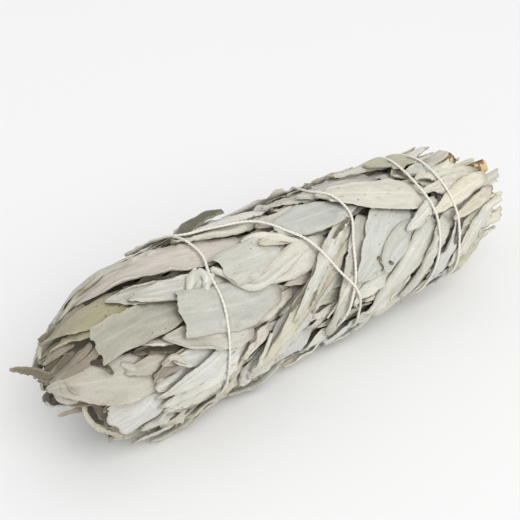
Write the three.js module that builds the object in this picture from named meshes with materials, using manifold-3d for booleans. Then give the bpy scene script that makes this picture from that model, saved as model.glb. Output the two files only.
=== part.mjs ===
// Dried white-sage bunch, lying down: seven cut leafy stems bound with one white cotton thread.
// Millimetres and degrees, +Z up. X runs along the bunch: leaf tips at -X, cut stems at +X.
// The bunch rests on z = 0 on two leaves that are pressed flat on its underside.
//
// Round the bunch an angle of 0 faces -Y, 90 is the top, 180 faces +Y and -90 is the underside.
// Heights are measured outwards from the outline surface, so a leaf in the pile has a negative one.
import * as THREE from 'three'
import { mergeVertices } from 'three/addons/utils/BufferGeometryUtils.js'
import Module from 'manifold-3d'

const wasm = await Module()
wasm.setup()

// ---- driving dimensions ----
const axisHeight = 24.1        // the bunch's axis over the surface, in its round middle
const middleX = -2.1           // middle of the whole bunch's box, along and across the axis
const middleY = -0.4
const stemCount = 7
const clearance = 0.35         // between any two separate pieces
const leafThickness = 0.65
const foldGap = 0.08           // between leaves of one stem, which join only at their bases
const edgeGap = 0.6            // kept clear beside a leaf's edge
const smallestStep = 0.03      // keeps faces that are cut to one gap from lying in one plane
const shortestEdge = 0.02      // slivers finer than this, left by fusing, are closed
const rootDepth = 2.2          // how far a leaf's base is sunk into its own stem's core
const rootRun = 3.5            // length over which a base dives into the core
const threadDiameter = 0.8
const threadStep = 5.5
const stemDiameter = 4.8
const stemOrbit = 11.8         // the stems' distance from the axis
const stemInnerEnd = -30
const coreEnd = 68             // where the leaf mass stops and the bare stems come out

// Outline of the bunch: [along X, radius, how far the axis is lowered there].
const outline = [
  [-79, 3, -5.5], [-77.5, 8, -5.5], [-75, 11.5, -5.5], [-71, 14.8, -5.2], [-66, 17.4, -4.1],
  [-60, 19.8, -2.5], [-52, 21.6, -1], [-42, 22.6, -0.2], [-30, 23, 0], [-15, 22.6, 0],
  [0, 22.2, 0], [15, 22, 0], [28, 22, 0], [38, 21.7, 0], [48, 20.6, 0],
  [57, 19.2, 0], [65, 17.6, 0], [72, 16.1, 0], [79, 14.5, 0],
]
// Depth of the packed inner leaves under the outline: [along X, depth].
const coreInset = [[-79, 4.5], [40, 4.4], [52, 3.6], [64, 3.1], [72, 1.3], [79, 0.1]]

// Leaves that stand out, in the order they grow along the bunch:
// [base x, angle,  middle x, angle,  tip x, angle,  width, tip bluntness,
//  lift of the upper edge, of the midrib, of the lower edge, outward curl of the tip]
const leaves = [
  // inner tips crumpled into the blunt end
  [-58, 70, -68, 66, -77, 75, 7, 0.3, 0.5, 0, 0.8, 0],
  [-59, 58, -68, 56, -76.5, 62, 7, 0.3, 0.6, 0, 0.4, 0.6],
  [-57, 46, -68, 40, -76, 36, 6, 0.3, 0.8, 0, 0.5, 0],
  [-58, 30, -68, 22, -75.5, 14, 5.5, 0.25, 0.4, 0, 0.6, 3],
  [-50, -35, -60, -25, -71, 4, 8, 0.15, 0, 0, 0.6, 0],
  [-50, -12, -56, -8, -61.5, 0, 6, 0.3, 0.6, 0, 0, 0],
  [-48, 14, -62, 28, -76, 52, 10.5, 0.12, 0, 0.3, 1.8, 0],
  [-50, 58, -64, 73, -75, 92, 7.5, 0.3, 0, 0.4, 1.2, 0],
  [-49, 60, -66, 64, -77.8, 70, 5, 0.25, 0.8, 0, 0.8, 8],
  [-46, -22, -58, -10, -69, 14, 11.5, 0.12, 0.2, 0.3, 1.2, 0],
  [-44, 27, -53, 28, -61, 33, 6, 0.3, 0.4, 0, 0.8, 0],
  [-42, 24, -48, 25, -54.5, 19, 5, 0.6, 1.3, 0, 1.2, 0],
  [-42, 35, -49, 37, -56, 43, 4, 0.4, 0.3, 0, 0.4, 0],
  [-42, -12, -50, -22, -58, -28, 8.5, 0.3, 0.5, 0, 0.4, 0],
  [-40, 62, -57, 75, -72, 98, 10, 0.15, 0, 0.3, 0.7, 0],
  [-38, 49, -52, 51, -63.5, 55, 9, 0.85, 0.3, 0.3, 1.1, 0.5],
  [-34, -42, -46, -52, -58, -60, 10, 0.2, 0.4, 0, 0.3, 0],
  [-34, 112, -50, 115, -66, 120, 10, 0.2, 0.4, 0, 0.4, 0],
  [-30, 66, -45, 71, -57, 84, 8, 0.2, 0.2, 0, 0.8, 0],
  [-30, -8, -41, -24, -51, -42, 7, 0.3, 0.3, 0, 1.6, 0],
  [-27, 14, -40, 8, -55, 12, 7, 0.3, 0, 0.3, 0.9, 0],
  [-26, 8, -38, 14, -49.5, 23, 7.5, 0.15, 0, 0, 0.3, 0],
  [-24, -18, -35, -32, -46, -48, 6, 0.3, 0.7, 0, 0.5, 0],
  [-24, 20, -42, -2, -57, -9, 9.5, 0.25, 0.2, 0.5, 0.8, 0],
  [-22, 14, -38, 25, -50.5, 38, 7, 0.15, 0.9, 0, 0.5, 0],
  [-22, 97, -42, 100, -66, 109, 7, 0.2, 0.3, 0.2, 1.2, 0],
  [-14, 51, -33, 55, -53, 67, 8, 0.2, 0, 0.2, 0.4, 0],
  [-12, 84, -35, 82, -62, 97, 11.5, 0.15, 0, 0.3, 0.8, 0],
  [-10, 34, -27, 35, -44.5, 45, 12, 0.85, 0.2, 0.3, 0.7, 1],
  // middle
  [-16, 11, -24, 7, -31, 3, 4.5, 0.4, 0.5, 0, 0.5, 0],
  [-10, -10, -19, -26, -26, -42, 8, 0.25, 0.3, 0, 0.6, 0],
  [-6, 124, -15, 121, -27, 114, 8, 0.4, 0.6, 1, 3.6, 1],
  [-2, 62, -14, 60, -28, 58, 13, 0.8, 0.5, 1.4, 0.8, 0.4],
  [-2, 95, -15, 94, -32, 97, 7.5, 0.25, 0.2, 0.2, 0.6, 0],
  [0, -15, -8, -35, -18, -54, 9, 0.25, 0.3, 0, 0.6, 0],
  [2, 107, -12, 107, -30, 108, 9, 0.2, 0.3, 0, 0.3, 0],
  [4, 66, -4, 66, -13, 67, 6, 0.3, 0.4, 0, 0.6, 0],
  [10, 50, -4, 46, -18, 42, 10, 0.4, 0.2, 0.3, 0.3, 0],
  [12, 38, -10, 2, -24, -37, 9.5, 0.15, 0, 0.4, 0.8, 0],
  [14, -28, 4, -45, -8, -62, 10, 0.2, 0.3, 0, 0.5, 0],
  [14, 84, 2, 84, -9, 84, 6.5, 0.4, 0.2, 0.2, 0.6, 0],
  [18, 60, -3, 25, -25, -20, 9.5, 0.12, 0.3, 0.4, 0.9, 0],
  [18, 57, 10, 50, 2, 36, 5, 0.3, 0.4, 0, 0.4, 0],
  [24, 72, 8, 72, -6, 74, 12, 0.5, 0.2, 0.5, 0.6, 0],
  [24, 62, 12, 20, 3, -34, 9.5, 0.15, 0.3, 0.3, 0.9, 0],
  // towards the stems
  [30, -30, 20, -45, 6, -60, 10, 0.2, 0.3, 0, 0.5, 0],
  [30, -2, 20, 2, 10, -8, 8, 0.25, 0.2, 0.2, 0.6, 0],
  [30, 104, 14, 104, -2, 102, 10, 0.2, 0.4, 0, 0.3, 0],
  [38, 62, 26, 40, 11, 10, 13.5, 0.2, 0.2, 0.5, 0.9, 0],
  [38, 88, 24, 92, 8, 96, 10, 0.2, 0.2, 0.2, 0.5, 0],
  [40, 32, 30, 26, 21, 12, 10, 0.6, 0.3, 0.3, 0.7, 0],
  [44, 40, 36, 38, 29, 36, 7, 0.3, 0.4, 0.2, 0.6, 0],
  [46, -20, 36, -38, 24, -54, 9, 0.2, 0.3, 0, 0.5, 0],
  [46, 36, 33, 8, 15, -40, 10.5, 0.15, 0.6, 0.3, 0.9, 0],
  [48, 44, 32, 66, 12, 88, 13, 0.2, 0.2, 0.4, 0.7, 0],
  [50, 32, 42, 10, 31, -32, 8, 0.2, 0.4, 0.2, 0.7, 0],
  [52, 108, 38, 106, 22, 106, 10, 0.25, 0.3, 0, 0.4, 0],
  [56, 22, 49, 4, 42, -28, 7, 0.2, 0.4, 0.2, 0.6, 0],
  [58, -15, 50, -30, 38, -48, 8, 0.2, 0.3, 0, 0.5, 0],
  [58, 96, 46, 95, 33, 96, 9, 0.3, 0.3, 0, 0.8, 0],
  [60, 40, 52, 42, 44, 36, 7, 0.3, 0.4, 0.2, 0.6, 0],
  [62, 10, 55, -2, 48, -22, 7, 0.2, 0.5, 0.1, 0.6, 0],
  [63, 53, 56, 54, 44, 57, 8, 0.3, 0.3, 0.1, 0.6, 0],
  [64, 68, 58, 71, 44, 77, 10, 0.3, 0.3, 0.2, 0.6, 0],
  [65, 28, 60, 28, 52, 27, 6, 0.5, 0.3, 0.2, 0.5, 0],
  // leaf stalks that lie along the cut stems
  [60, 46, 68, 44, 77, 42, 5.5, 0.7, 0.2, 0.4, 0.2, 0],
  [61, 17, 69, 16, 78, 14, 5.5, 0.7, 0.2, 0.4, 0.2, 0],
  [60, -9, 68, -9, 78, -9, 6, 0.7, 0.2, 0.4, 0.2, 0],
  [61, 92, 67, 90, 73, 88, 5, 0.6, 0.2, 0.4, 0.2, 0],
]

// Leaves on the far side and the underside, laid in rows by a rule with seeded draws.
const hiddenFrom = 130
const hiddenTo = 300
const rowTips = [-77, -60, -42, -24, -6, 12, 30]
const rowLeafCount = 5
const rowLeafLength = 46
const rowLeafWidth = 14

// The leaves pressed flat on the underside, on which the bunch rests:
// [base x, angle,  tip x, angle,  width].
const pressedLeaves = [[-6, 264, -29, 272, 12], [36, 269, 23, 271, 12]]

// The thread's route, wound from the stems to the leaf tips and back: [along X, angle].
const threadRoute = [
  [38, 190], [46, 150], [51, 118], [52, 95], [51.5, 60], [51.5, 20], [50.5, -20], [48.5, -70],
  [46.5, -130], [44.5, -190], [43.5, -240], [43, -290], [43, -340], [42.3, -372], [41, -410],
  [39.5, -450], [35, -490], [28, -530], [20, -570], [14, -610], [13, -625], [16, -640], [16.5, -660],
  [13, -680], [11, -700], [9, -720], [8, -740], [5, -780], [2, -810], [-6, -850], [-15, -890],
  [-25, -935], [-29.5, -975], [-29, -1005], [-31, -1020], [-32, -1040], [-34, -1060],
  [-35, -1080], [-34.5, -1100], [-34, -1150], [-33, -1200], [-32, -1250], [-31.5, -1300],
  [-29, -1336], [-20, -1343], [-10, -1351], [-4, -1372], [-0.5, -1383], [4, -1408],
  [10, -1432], [13, -1452], [16, -1490], [19, -1530], [23, -1575], [28, -1620],
]

const colours = {
  leaf: [0xb9b9a4, 0xaeb09c, 0xc2bfae, 0xb4b49a, 0xbdbcac, 0xa9a995, 0xb7b29d],
  stem: 0xa98f66,
  thread: 0xe9e3d3,
}
const leafRoughness = 0.9
const stemRoughness = 0.8
const threadRoughness = 0.75

// ---- small helpers ----
const radians = THREE.MathUtils.degToRad
const degrees = THREE.MathUtils.radToDeg
const mix = THREE.MathUtils.lerp
const clamp = THREE.MathUtils.clamp
const modulo = THREE.MathUtils.euclideanModulo

function seededRandom(seed) {
  let state = seed >>> 0
  return () => {
    state = (state + 0x6d2b79f5) >>> 0
    let word = Math.imul(state ^ (state >>> 15), state | 1)
    word ^= word + Math.imul(word ^ (word >>> 7), word | 61)
    return ((word ^ (word >>> 14)) >>> 0) / 4294967296
  }
}

// Straight-line interpolation in a list of rows, by its first column.
function lookUp(rows, x, column) {
  if (x <= rows[0][0]) return rows[0][column]
  for (let i = 1; i < rows.length; i++) {
    const [before, after] = [rows[i - 1], rows[i]]
    if (x <= after[0]) return mix(before[column], after[column], (x - before[0]) / (after[0] - before[0]))
  }
  return rows[rows.length - 1][column]
}

// ---- the outline surface ----
const meridianStep = 0.5
const meridianCurve = new THREE.SplineCurve(outline.map(([x, r]) => new THREE.Vector2(x, r)))
meridianCurve.arcLengthDivisions = 2000
const meridianCount = Math.round(meridianCurve.getLength() / meridianStep)
const meridian = meridianCurve.getSpacedPoints(meridianCount)
const runLength = meridianCount * meridianStep

// Distance run along the outline from the leaf-tip end, at a place x.
function runAt(x) {
  let i = 1
  while (i < meridianCount && meridian[i].x < x) i++
  const share = (x - meridian[i - 1].x) / (meridian[i].x - meridian[i - 1].x)
  return clamp((i - 1 + share) * meridianStep, 0, runLength)
}

function outlineAt(run) {
  const place = clamp(run / meridianStep, 0, meridianCount - 0.001)
  const i = Math.floor(place)
  const [a, b] = [meridian[i], meridian[i + 1]]
  const length = Math.hypot(b.x - a.x, b.y - a.y)
  return {
    x: mix(a.x, b.x, place - i),
    radius: mix(a.y, b.y, place - i),
    outX: -(b.y - a.y) / length,
    outR: (b.x - a.x) / length,
  }
}

function roundAxis(x, radius, angle) {
  return new THREE.Vector3(x, -radius * Math.cos(radians(angle)), radius * Math.sin(radians(angle)))
}

// A point of the straight bunch: run along the outline, angle round it, height off it.
function straightPoint(run, angle, height) {
  const at = outlineAt(run)
  const x = at.x + at.outX * height + Math.min(run, 0) + Math.max(run - runLength, 0)
  return roundAxis(x, at.radius + at.outR * height, angle)
}

// From the straight bunch to the lying one, whose leaf-tip end sags, with its box's middle at the origin.
function settle(point) {
  const sag = lookUp(outline, point.x, 2)
  return point.add(new THREE.Vector3(-middleX, -middleY, axisHeight + sag))
}

// Run and angle of the outline's nearest point.
function footprint(point, nearAngle) {
  const radius = Math.hypot(point.y, point.z)
  let best = 0
  let bestDistance = Infinity
  for (let i = 0; i <= meridianCount; i++) {
    const distance = (meridian[i].x - point.x) ** 2 + (meridian[i].y - radius) ** 2
    if (distance < bestDistance) {
      best = i
      bestDistance = distance
    }
  }
  const angle = degrees(Math.atan2(point.z, -point.y))
  return [best * meridianStep, angle + 360 * Math.round((nearAngle - angle) / 360)]
}

// ---- the pile: how high each stem's leaves already reach, on a grid over the outline ----
const cellsPerTurn = 160
const cellRun = 0.8
const runCells = Math.ceil(runLength / cellRun) + 1
const wedgeAngle = 360 / stemCount
const stemAngle = (k) => k * wedgeAngle + 14
const bareHeight = (run) => -lookUp(coreInset, outlineAt(run).x, 1)
const wedgeOf = (angle) => modulo(Math.round((angle - stemAngle(0)) / wedgeAngle), stemCount)

function cellAt(run, angle) {
  const row = clamp(Math.round(run / cellRun), 0, runCells - 1)
  return row * cellsPerTurn + modulo(Math.round(angle * cellsPerTurn / 360), cellsPerTurn)
}

const newGrid = (height) => new Float64Array(runCells * cellsPerTurn).fill(height)
const pile = Array.from({ length: stemCount }, () => newGrid(-Infinity))
for (let i = 0; i < runCells; i++) {
  for (let j = 0; j < cellsPerTurn; j++) {
    pile[wedgeOf(j * 360 / cellsPerTurn)][i * cellsPerTurn + j] = bareHeight(i * cellRun)
  }
}

// Lowest height at which a leaf of this stem clears everything laid so far.
function clearHeight(stem, run, angle) {
  const place = cellAt(run, angle)
  const own = pile[stem][place] + foldGap
  const others = pile.filter((_, k) => k !== stem).map((grid) => grid[place] + clearance)
  return Math.max(own, ...others)
}

function raisePile(stem, run, angle, height) {
  const place = cellAt(run, angle)
  pile[stem][place] = Math.max(pile[stem][place], height)
}

// ---- solids ----
function toManifold(points, triangles) {
  const vertProperties = new Float32Array(points.flatMap((p) => [p.x, p.y, p.z]))
  const triVerts = new Uint32Array(triangles.flat())
  return new wasm.Manifold(new wasm.Mesh({ numProp: 3, vertProperties, triVerts }))
}

// A closed solid through rings of the same number of points, with the triangles that close a ring.
// Sides from `turned` on are split along their other diagonal, so that a blade's two faces are split alike.
function loft(rings, cap, turned = Infinity) {
  const size = rings[0].length
  const triangles = []
  for (let i = 0; i + 1 < rings.length; i++) {
    for (let j = 0; j < size; j++) {
      const next = (j + 1) % size
      const [a, b] = [i * size + j, i * size + next]
      const [c, d] = [a + size, b + size]
      if (j < turned) triangles.push([a, b, c], [b, d, c])
      else triangles.push([a, b, d], [a, d, c])
    }
  }
  const last = (rings.length - 1) * size
  for (const [a, b, c] of cap) triangles.push([a, c, b], [last + a, last + b, last + c])
  return toManifold(rings.flat(), triangles)
}

function geometryToManifold(geometry) {
  geometry.deleteAttribute('normal')
  geometry.deleteAttribute('uv')
  const merged = mergeVertices(geometry, 1e-4)
  const position = merged.getAttribute('position')
  const points = []
  for (let i = 0; i < position.count; i++) {
    points.push(settle(new THREE.Vector3().fromBufferAttribute(position, i)))
  }
  const triangles = []
  for (let i = 0; i < merged.index.count; i += 3) {
    const [a, b, c] = [merged.index.getX(i), merged.index.getX(i + 1), merged.index.getX(i + 2)]
    if (a !== b && b !== c && c !== a) triangles.push([a, b, c])
  }
  return toManifold(points, triangles)
}

// The outer skin of a solid, without the hollows that fusing sealed inside it and without scraps.
function outerSkin(positions, triangles) {
  const group = Array.from({ length: positions.length / 3 }, (_, i) => i)
  const find = (i) => {
    while (group[i] !== i) i = group[i] = group[group[i]]
    return i
  }
  for (const [a, b, c] of triangles) {
    group[find(a)] = find(b)
    group[find(b)] = find(c)
  }
  const at = (i) => new THREE.Vector3().fromArray(positions, 3 * i)
  const volumes = new Map()
  for (const [a, b, c] of triangles) {
    const volume = at(a).dot(at(b).cross(at(c))) / 6
    volumes.set(find(a), (volumes.get(find(a)) ?? 0) + volume)
  }
  const [largest] = [...volumes].reduce((best, entry) => (entry[1] > best[1] ? entry : best))
  return triangles.filter(([a]) => find(a) === largest)
}

function toMesh(name, solid, colour, roughness) {
  const { numProp, vertProperties, triVerts } = solid.simplify(shortestEdge).getMesh()
  const positions = new Float32Array(vertProperties.length / numProp * 3)
  for (let i = 0; i < positions.length / 3; i++) {
    for (let axis = 0; axis < 3; axis++) positions[3 * i + axis] = vertProperties[numProp * i + axis]
  }
  const triangles = []
  for (let i = 0; i < triVerts.length; i += 3) triangles.push([...triVerts.slice(i, i + 3)])
  const geometry = new THREE.BufferGeometry()
  geometry.setAttribute('position', new THREE.BufferAttribute(positions, 3))
  geometry.setIndex(outerSkin(positions, triangles).flat())
  const material = new THREE.MeshStandardMaterial({ color: colour, roughness, metalness: 0 })
  const mesh = new THREE.Mesh(geometry, material)
  mesh.name = name
  return mesh
}

// ---- stems ----
const stemSides = 8
const stemSteps = 4
const stemReach = [75, 77.5, 73, 76, 78, 74.5, 76.5]

// The stems come together a little towards their inner ends and their cut ends.
function stemPath(k) {
  const along = [
    [stemInnerEnd, stemOrbit - 4], [10, stemOrbit - 1], [50, stemOrbit], [stemReach[k], stemOrbit - 0.6],
  ]
  return new THREE.CatmullRomCurve3(along.map(([x, orbit]) => roundAxis(x, orbit, stemAngle(k))))
}

function rod(path, radius, sides, steps) {
  const section = new THREE.Shape()
  for (let i = 0; i < sides; i++) {
    const turn = 2 * Math.PI * i / sides
    const [x, y] = [radius * Math.cos(turn), radius * Math.sin(turn)]
    if (i === 0) section.moveTo(x, y)
    else section.lineTo(x, y)
  }
  const options = { steps, extrudePath: path, bevelEnabled: false }
  return geometryToManifold(new THREE.ExtrudeGeometry(section, options))
}

// ---- wedges: each stem's packed inner leaves fill its own wedge of the bunch ----
const arcSides = 5
const wedgeStations = [-74.2, -72.5, -70, -66, -60, -52, -42, -30, -15, 5, 25, 40, 48, 57, 63, coreEnd]

function coreRadius(x) {
  let radius = 0
  for (let run = 0; run < runLength; run += meridianStep) {
    const point = straightPoint(run, 90, bareHeight(run))
    if (point.x <= x) radius = point.z
  }
  return radius
}

// A stem's wedge of packed leaves, grown on every side by so much.
function wedge(k, grow) {
  const half = wedgeAngle / 2
  const sideGap = clearance / 2 - grow
  const apex = sideGap / Math.sin(radians(half))
  const rings = wedgeStations.map((x) => {
    const radius = coreRadius(x) + grow
    const trim = degrees(Math.asin(sideGap / radius))
    const ring = [settle(roundAxis(x, apex, stemAngle(k)))]
    for (let i = 0; i <= arcSides; i++) {
      const turn = mix(half - trim, trim - half, i / arcSides)
      ring.push(settle(roundAxis(x, radius, stemAngle(k) + turn)))
    }
    return ring
  })
  const slices = Array.from({ length: arcSides }, (_, i) => [0, i + 1, i + 2])
  return loft(rings, slices)
}

// ---- leaves ----
const across = [-1, 0, 1]      // lower edge, midrib, upper edge
const widest = 0.45            // share of a leaf's length at which it is widest
const baseWidth = 0.42         // its width at the base, as a share of the widest

function widthShare(t, blunt) {
  if (t < widest) return mix(baseWidth, 1, Math.sin(Math.PI / 2 * t / widest))
  return mix(blunt, 1, Math.cos(Math.PI / 2 * (t - widest) / (1 - widest)) ** 0.8)
}

// A leaf grows from the wedge its base is in, at the nearest place there that no other stem's leaf covers.
const wedgeMargin = 9          // degrees kept clear of the wedge's sides
const rootSearch = 9           // distance searched towards the stem ends

function findRoot(baseRun, baseAngle) {
  const stem = wedgeOf(baseAngle)
  const centre = stemAngle(stem) + 360 * Math.round((baseAngle - stemAngle(stem)) / 360)
  const safe = wedgeAngle / 2 - wedgeMargin
  const lastRun = runAt(coreEnd - rootRun)
  const inWedge = clamp(baseAngle, centre - safe, centre + safe)
  const root = { stem, run: Math.min(baseRun, lastRun), angle: inWedge }
  let leastCost = Infinity
  for (let run = baseRun; run < Math.min(baseRun + rootSearch, lastRun); run += 1) {
    for (let angle = centre - safe; angle <= centre + safe; angle += safe / 4) {
      const cost = Math.abs(run - baseRun) + Math.abs(angle - baseAngle) / 3
      if (cost < leastCost && openToCore(stem, run, angle)) {
        leastCost = cost
        Object.assign(root, { run, angle })
      }
    }
  }
  return root
}

function openToCore(stem, run, angle) {
  const covered = (place, height) => pile.some((grid, k) => k !== stem && grid[place] > height)
  for (let back = -1; back <= 5; back += 1) {
    for (let turn = -8; turn <= 8; turn += 2) {
      if (covered(cellAt(run - back, angle + turn), bareHeight(run - back) + 0.2)) return false
    }
  }
  return true
}

// Midline of a leaf through its base, middle and tip, as run and angle at a share t of its length.
function midline(baseRun, baseAngle, middleRun, middleAngle, tipRun, tipAngle) {
  const bow = [2 * middleRun - (baseRun + tipRun) / 2, 2 * middleAngle - (baseAngle + tipAngle) / 2]
  const through = (a, b, c, t) => (1 - t) ** 2 * a + 2 * t * (1 - t) * b + t ** 2 * c
  return (t) => [through(baseRun, bow[0], tipRun, t), through(baseAngle, bow[1], tipAngle, t)]
}

function lengthOf(line) {
  const at = (i) => straightPoint(...line(i / 20), 0)
  let length = 0
  for (let i = 0; i < 20; i++) length += at(i).distanceTo(at(i + 1))
  return length
}

// Where a leaf lies on the outline: for each station, run and angle of its two edges and midrib.
// In a tight turn it is narrower, so that its edge doesn't fold over itself.
function layOut(line, stations, width, blunt) {
  const at = (t) => straightPoint(...line(clamp(t, 0, 1)), 0)
  return stations.map((t) => {
    const here = at(t)
    const [before, after] = [here.clone().sub(at(t - 0.05)), at(t + 0.05).sub(here)]
    const turn = before.length() > 0 && after.length() > 0 ? before.angleTo(after) : 0
    const tightest = 0.7 * (before.length() + after.length()) / 2 / Math.max(turn, 1e-3)
    const along = before.add(after).normalize()
    const outward = straightPoint(...line(t), 1).sub(here)
    const side = new THREE.Vector3().crossVectors(along, outward).normalize()
    const half = Math.min(width / 2 * widthShare(t, blunt), tightest)
    return across.map((v) => footprint(here.clone().addScaledVector(side, v * half), line(t)[1]))
  })
}

// Visit sample places of each patch of a leaf: calls with patch corner, share along and across.
function eachPatch(stationCount, samples, visit) {
  for (let i = 0; i + 1 < stationCount; i++) {
    for (let j = 0; j + 1 < across.length; j++) {
      for (let a = 0; a <= samples; a++) {
        for (let b = 0; b <= samples; b++) visit(i, j, a / samples, b / samples)
      }
    }
  }
}

const patchMix = (grid, i, j, a, b, pick) => mix(
  mix(pick(grid[i][j]), pick(grid[i + 1][j]), a),
  mix(pick(grid[i][j + 1]), pick(grid[i + 1][j + 1]), a),
  b,
)

const restPasses = 60
const stiffness = 0.15         // how far each pass draws a station towards the line through its neighbours

function easeAlong(heights) {
  for (let i = 2; i + 1 < heights.length; i++) {
    for (let j = 0; j < across.length; j++) {
      heights[i][j] = mix(heights[i][j], (heights[i - 1][j] + heights[i + 1][j]) / 2, stiffness)
    }
  }
}

// Heights at which a leaf clears the pile everywhere under it, eased as a stiff leaf would lie.
function restOnPile(stem, places) {
  const floor = []
  eachPatch(places.length, 6, (i, j, a, b) => {
    if (i === 0 && a < 0.5) return
    const run = patchMix(places, i, j, a, b, (place) => place[0])
    const angle = patchMix(places, i, j, a, b, (place) => place[1])
    floor.push({ i, j, a, b, height: clearHeight(stem, run, angle) })
  })
  const heights = places.map((row) => row.map((place) => clearHeight(stem, ...place)))
  for (let pass = 0; pass < restPasses; pass++) {
    if (pass < restPasses / 2) easeAlong(heights)
    for (const { i, j, a, b, height } of floor) {
      const corners = [
        [i, j, (1 - a) * (1 - b)], [i + 1, j, a * (1 - b)], [i, j + 1, (1 - a) * b], [i + 1, j + 1, a * b],
      ]
      let short = height
      let weights = 0
      for (const [m, n, weight] of corners) {
        short -= heights[m][n] * weight
        weights += weight * weight
      }
      for (const [m, n, weight] of corners) heights[m][n] += weight * Math.max(short, 0) / weights
    }
  }
  return heights
}

function blade(places, heights) {
  const rings = places.map((row, i) => {
    const at = (j, thickness) => settle(straightPoint(...row[j], heights[i][j] + thickness))
    return [at(0, leafThickness), at(1, leafThickness), at(2, leafThickness), at(2, 0), at(1, 0), at(0, 0)]
  })
  return loft(rings, [[0, 1, 4], [0, 4, 5], [1, 2, 3], [1, 3, 4]], across.length)
}

const stationSpacing = 7.5
const overEndX = -68           // a leaf whose tip is past this bends over the bunch's rounded end

// Lay a leaf on the pile, flat for now: its lifted edges and curled tip come when all are laid.
function layLeaf(row) {
  const [baseX, baseAngle, middleX, middleAngle, tipX, tipAngle, width, blunt, ...lifts] = row
  const root = findRoot(runAt(baseX), baseAngle)
  const line = midline(root.run, root.angle, runAt(middleX), middleAngle, runAt(tipX), tipAngle)
  const length = lengthOf(line)
  const overEnd = tipX < overEndX
  const count = clamp(Math.round((length - rootRun) / stationSpacing), 2, 6) + (overEnd ? 1 : 0)
  const crowding = overEnd ? 0.85 : 1
  const stations = [0]
  for (let i = 0; i <= count; i++) stations.push(mix(rootRun / length, 1, (i / count) ** crowding))
  const places = layOut(line, stations, width, blunt)
  const heights = restOnPile(root.stem, places)
  heights[0] = across.map(() => bareHeight(root.run) - rootDepth)
  const pastTip = [...stations.slice(0, -1), 1 + edgeGap / length]
  const margin = layOut(line, pastTip, width + 2 * edgeGap, blunt)
  eachPatch(places.length, 10, (i, j, a, b) => {
    const run = patchMix(margin, i, j, a, b, (place) => place[0])
    const angle = patchMix(margin, i, j, a, b, (place) => place[1])
    raisePile(root.stem, run, angle, patchMix(heights, i, j, a, b, (height) => height) + leafThickness)
  })
  return { stem: root.stem, stations, places, heights, lifts }
}

const random = seededRandom(7)
const around = (spread) => spread * (random() - 0.5)

function hiddenLeaf(row, i) {
  const offset = row % 2 ? 0.5 : 0
  const angle = mix(hiddenFrom, hiddenTo, (i + offset + 0.25 + around(0.3)) / rowLeafCount)
  const tipX = Math.max(rowTips[row] + around(8), -77)
  const baseX = Math.min(tipX + rowLeafLength * (0.8 + 0.3 * random()), 64)
  const lean = around(20)
  return [
    baseX, angle + lean, (baseX + tipX) / 2, angle + around(6), tipX, angle - lean,
    rowLeafWidth * (0.75 + 0.35 * random()), 0.15 + 0.3 * random(),
    0.9 * random(), 0.3 * random(), 0.9 * random(), 0,
  ]
}

const hiddenLeaves = []
for (let row = 0; row < rowTips.length; row++) {
  for (let i = 0; i < rowLeafCount; i++) hiddenLeaves.push(hiddenLeaf(row, i))
}

const laid = [...leaves, ...hiddenLeaves].sort((a, b) => a[0] - b[0]).map(layLeaf)

// A pressed leaf's outer face is the plane z = 0, once it has come out of the pile.
for (const [baseX, baseAngle, tipX, tipAngle, width] of pressedLeaves) {
  const [middleX, middleAngle] = [(baseX + tipX) / 2, (baseAngle + tipAngle) / 2]
  const leaf = layLeaf([baseX, baseAngle, middleX, middleAngle, tipX, tipAngle, width, 0.5, 0, 0, 0, 0])
  for (let i = 2; i < leaf.places.length; i++) {
    leaf.places[i].forEach(([run, angle], j) => {
      const { radius, outR } = outlineAt(run)
      leaf.heights[i][j] = (axisHeight / -Math.sin(radians(angle)) - radius) / outR - leafThickness
    })
  }
  laid.push(leaf)
}

// ---- thread: it is wound before the free edges and tips of the leaves spring up ----
const aroundPerDegree = radians(22)     // the length of a degree round the bunch, on its mean radius of 22
const unrolled = threadRoute.map(([x, angle]) => new THREE.Vector3(x, angle * aroundPerDegree, 0))
const threadLine = new THREE.CatmullRomCurve3(unrolled)
threadLine.arcLengthDivisions = 2000
const threadCount = Math.round(threadLine.getLength() / threadStep)
const threadPlaces = threadLine.getSpacedPoints(threadCount).map((p) => [runAt(p.x), p.y / aroundPerDegree])

const threadPile = newGrid(0).map((_, place) => bareHeight(Math.floor(place / cellsPerTurn) * cellRun))
for (const { places, heights } of laid) {
  eachPatch(places.length, 10, (i, j, a, b) => {
    const run = patchMix(places, i, j, a, b, (place) => place[0])
    const angle = patchMix(places, i, j, a, b, (place) => place[1])
    const place = cellAt(run, angle)
    const top = patchMix(heights, i, j, a, b, (height) => height) + leafThickness
    threadPile[place] = Math.max(threadPile[place], top)
  })
}

// Calls with the share along one step of the thread, and the run and angle there.
function alongThread(step, samples, visit) {
  const [from, to] = [threadPlaces[step], threadPlaces[step + 1]]
  for (let i = 0; i <= samples; i++) {
    const share = i / samples
    visit(share, mix(from[0], to[0], share), mix(from[1], to[1], share))
  }
}

// Offsets along and round the bunch, within the thread's own width, at which it feels for the pile.
const threadFeelers = [[0, 0], [0.6, 0], [-0.6, 0], [0, 1.6], [0, -1.6]]

function threadFloor(i) {
  let height = -Infinity
  for (const step of [i - 1, i].filter((n) => n >= 0 && n < threadCount)) {
    alongThread(step, 6, (share, run, angle) => {
      for (const [aside, turn] of threadFeelers) {
        height = Math.max(height, threadPile[cellAt(run + aside, angle + turn)])
      }
    })
  }
  return height + clearance + threadDiameter / 2
}

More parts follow.
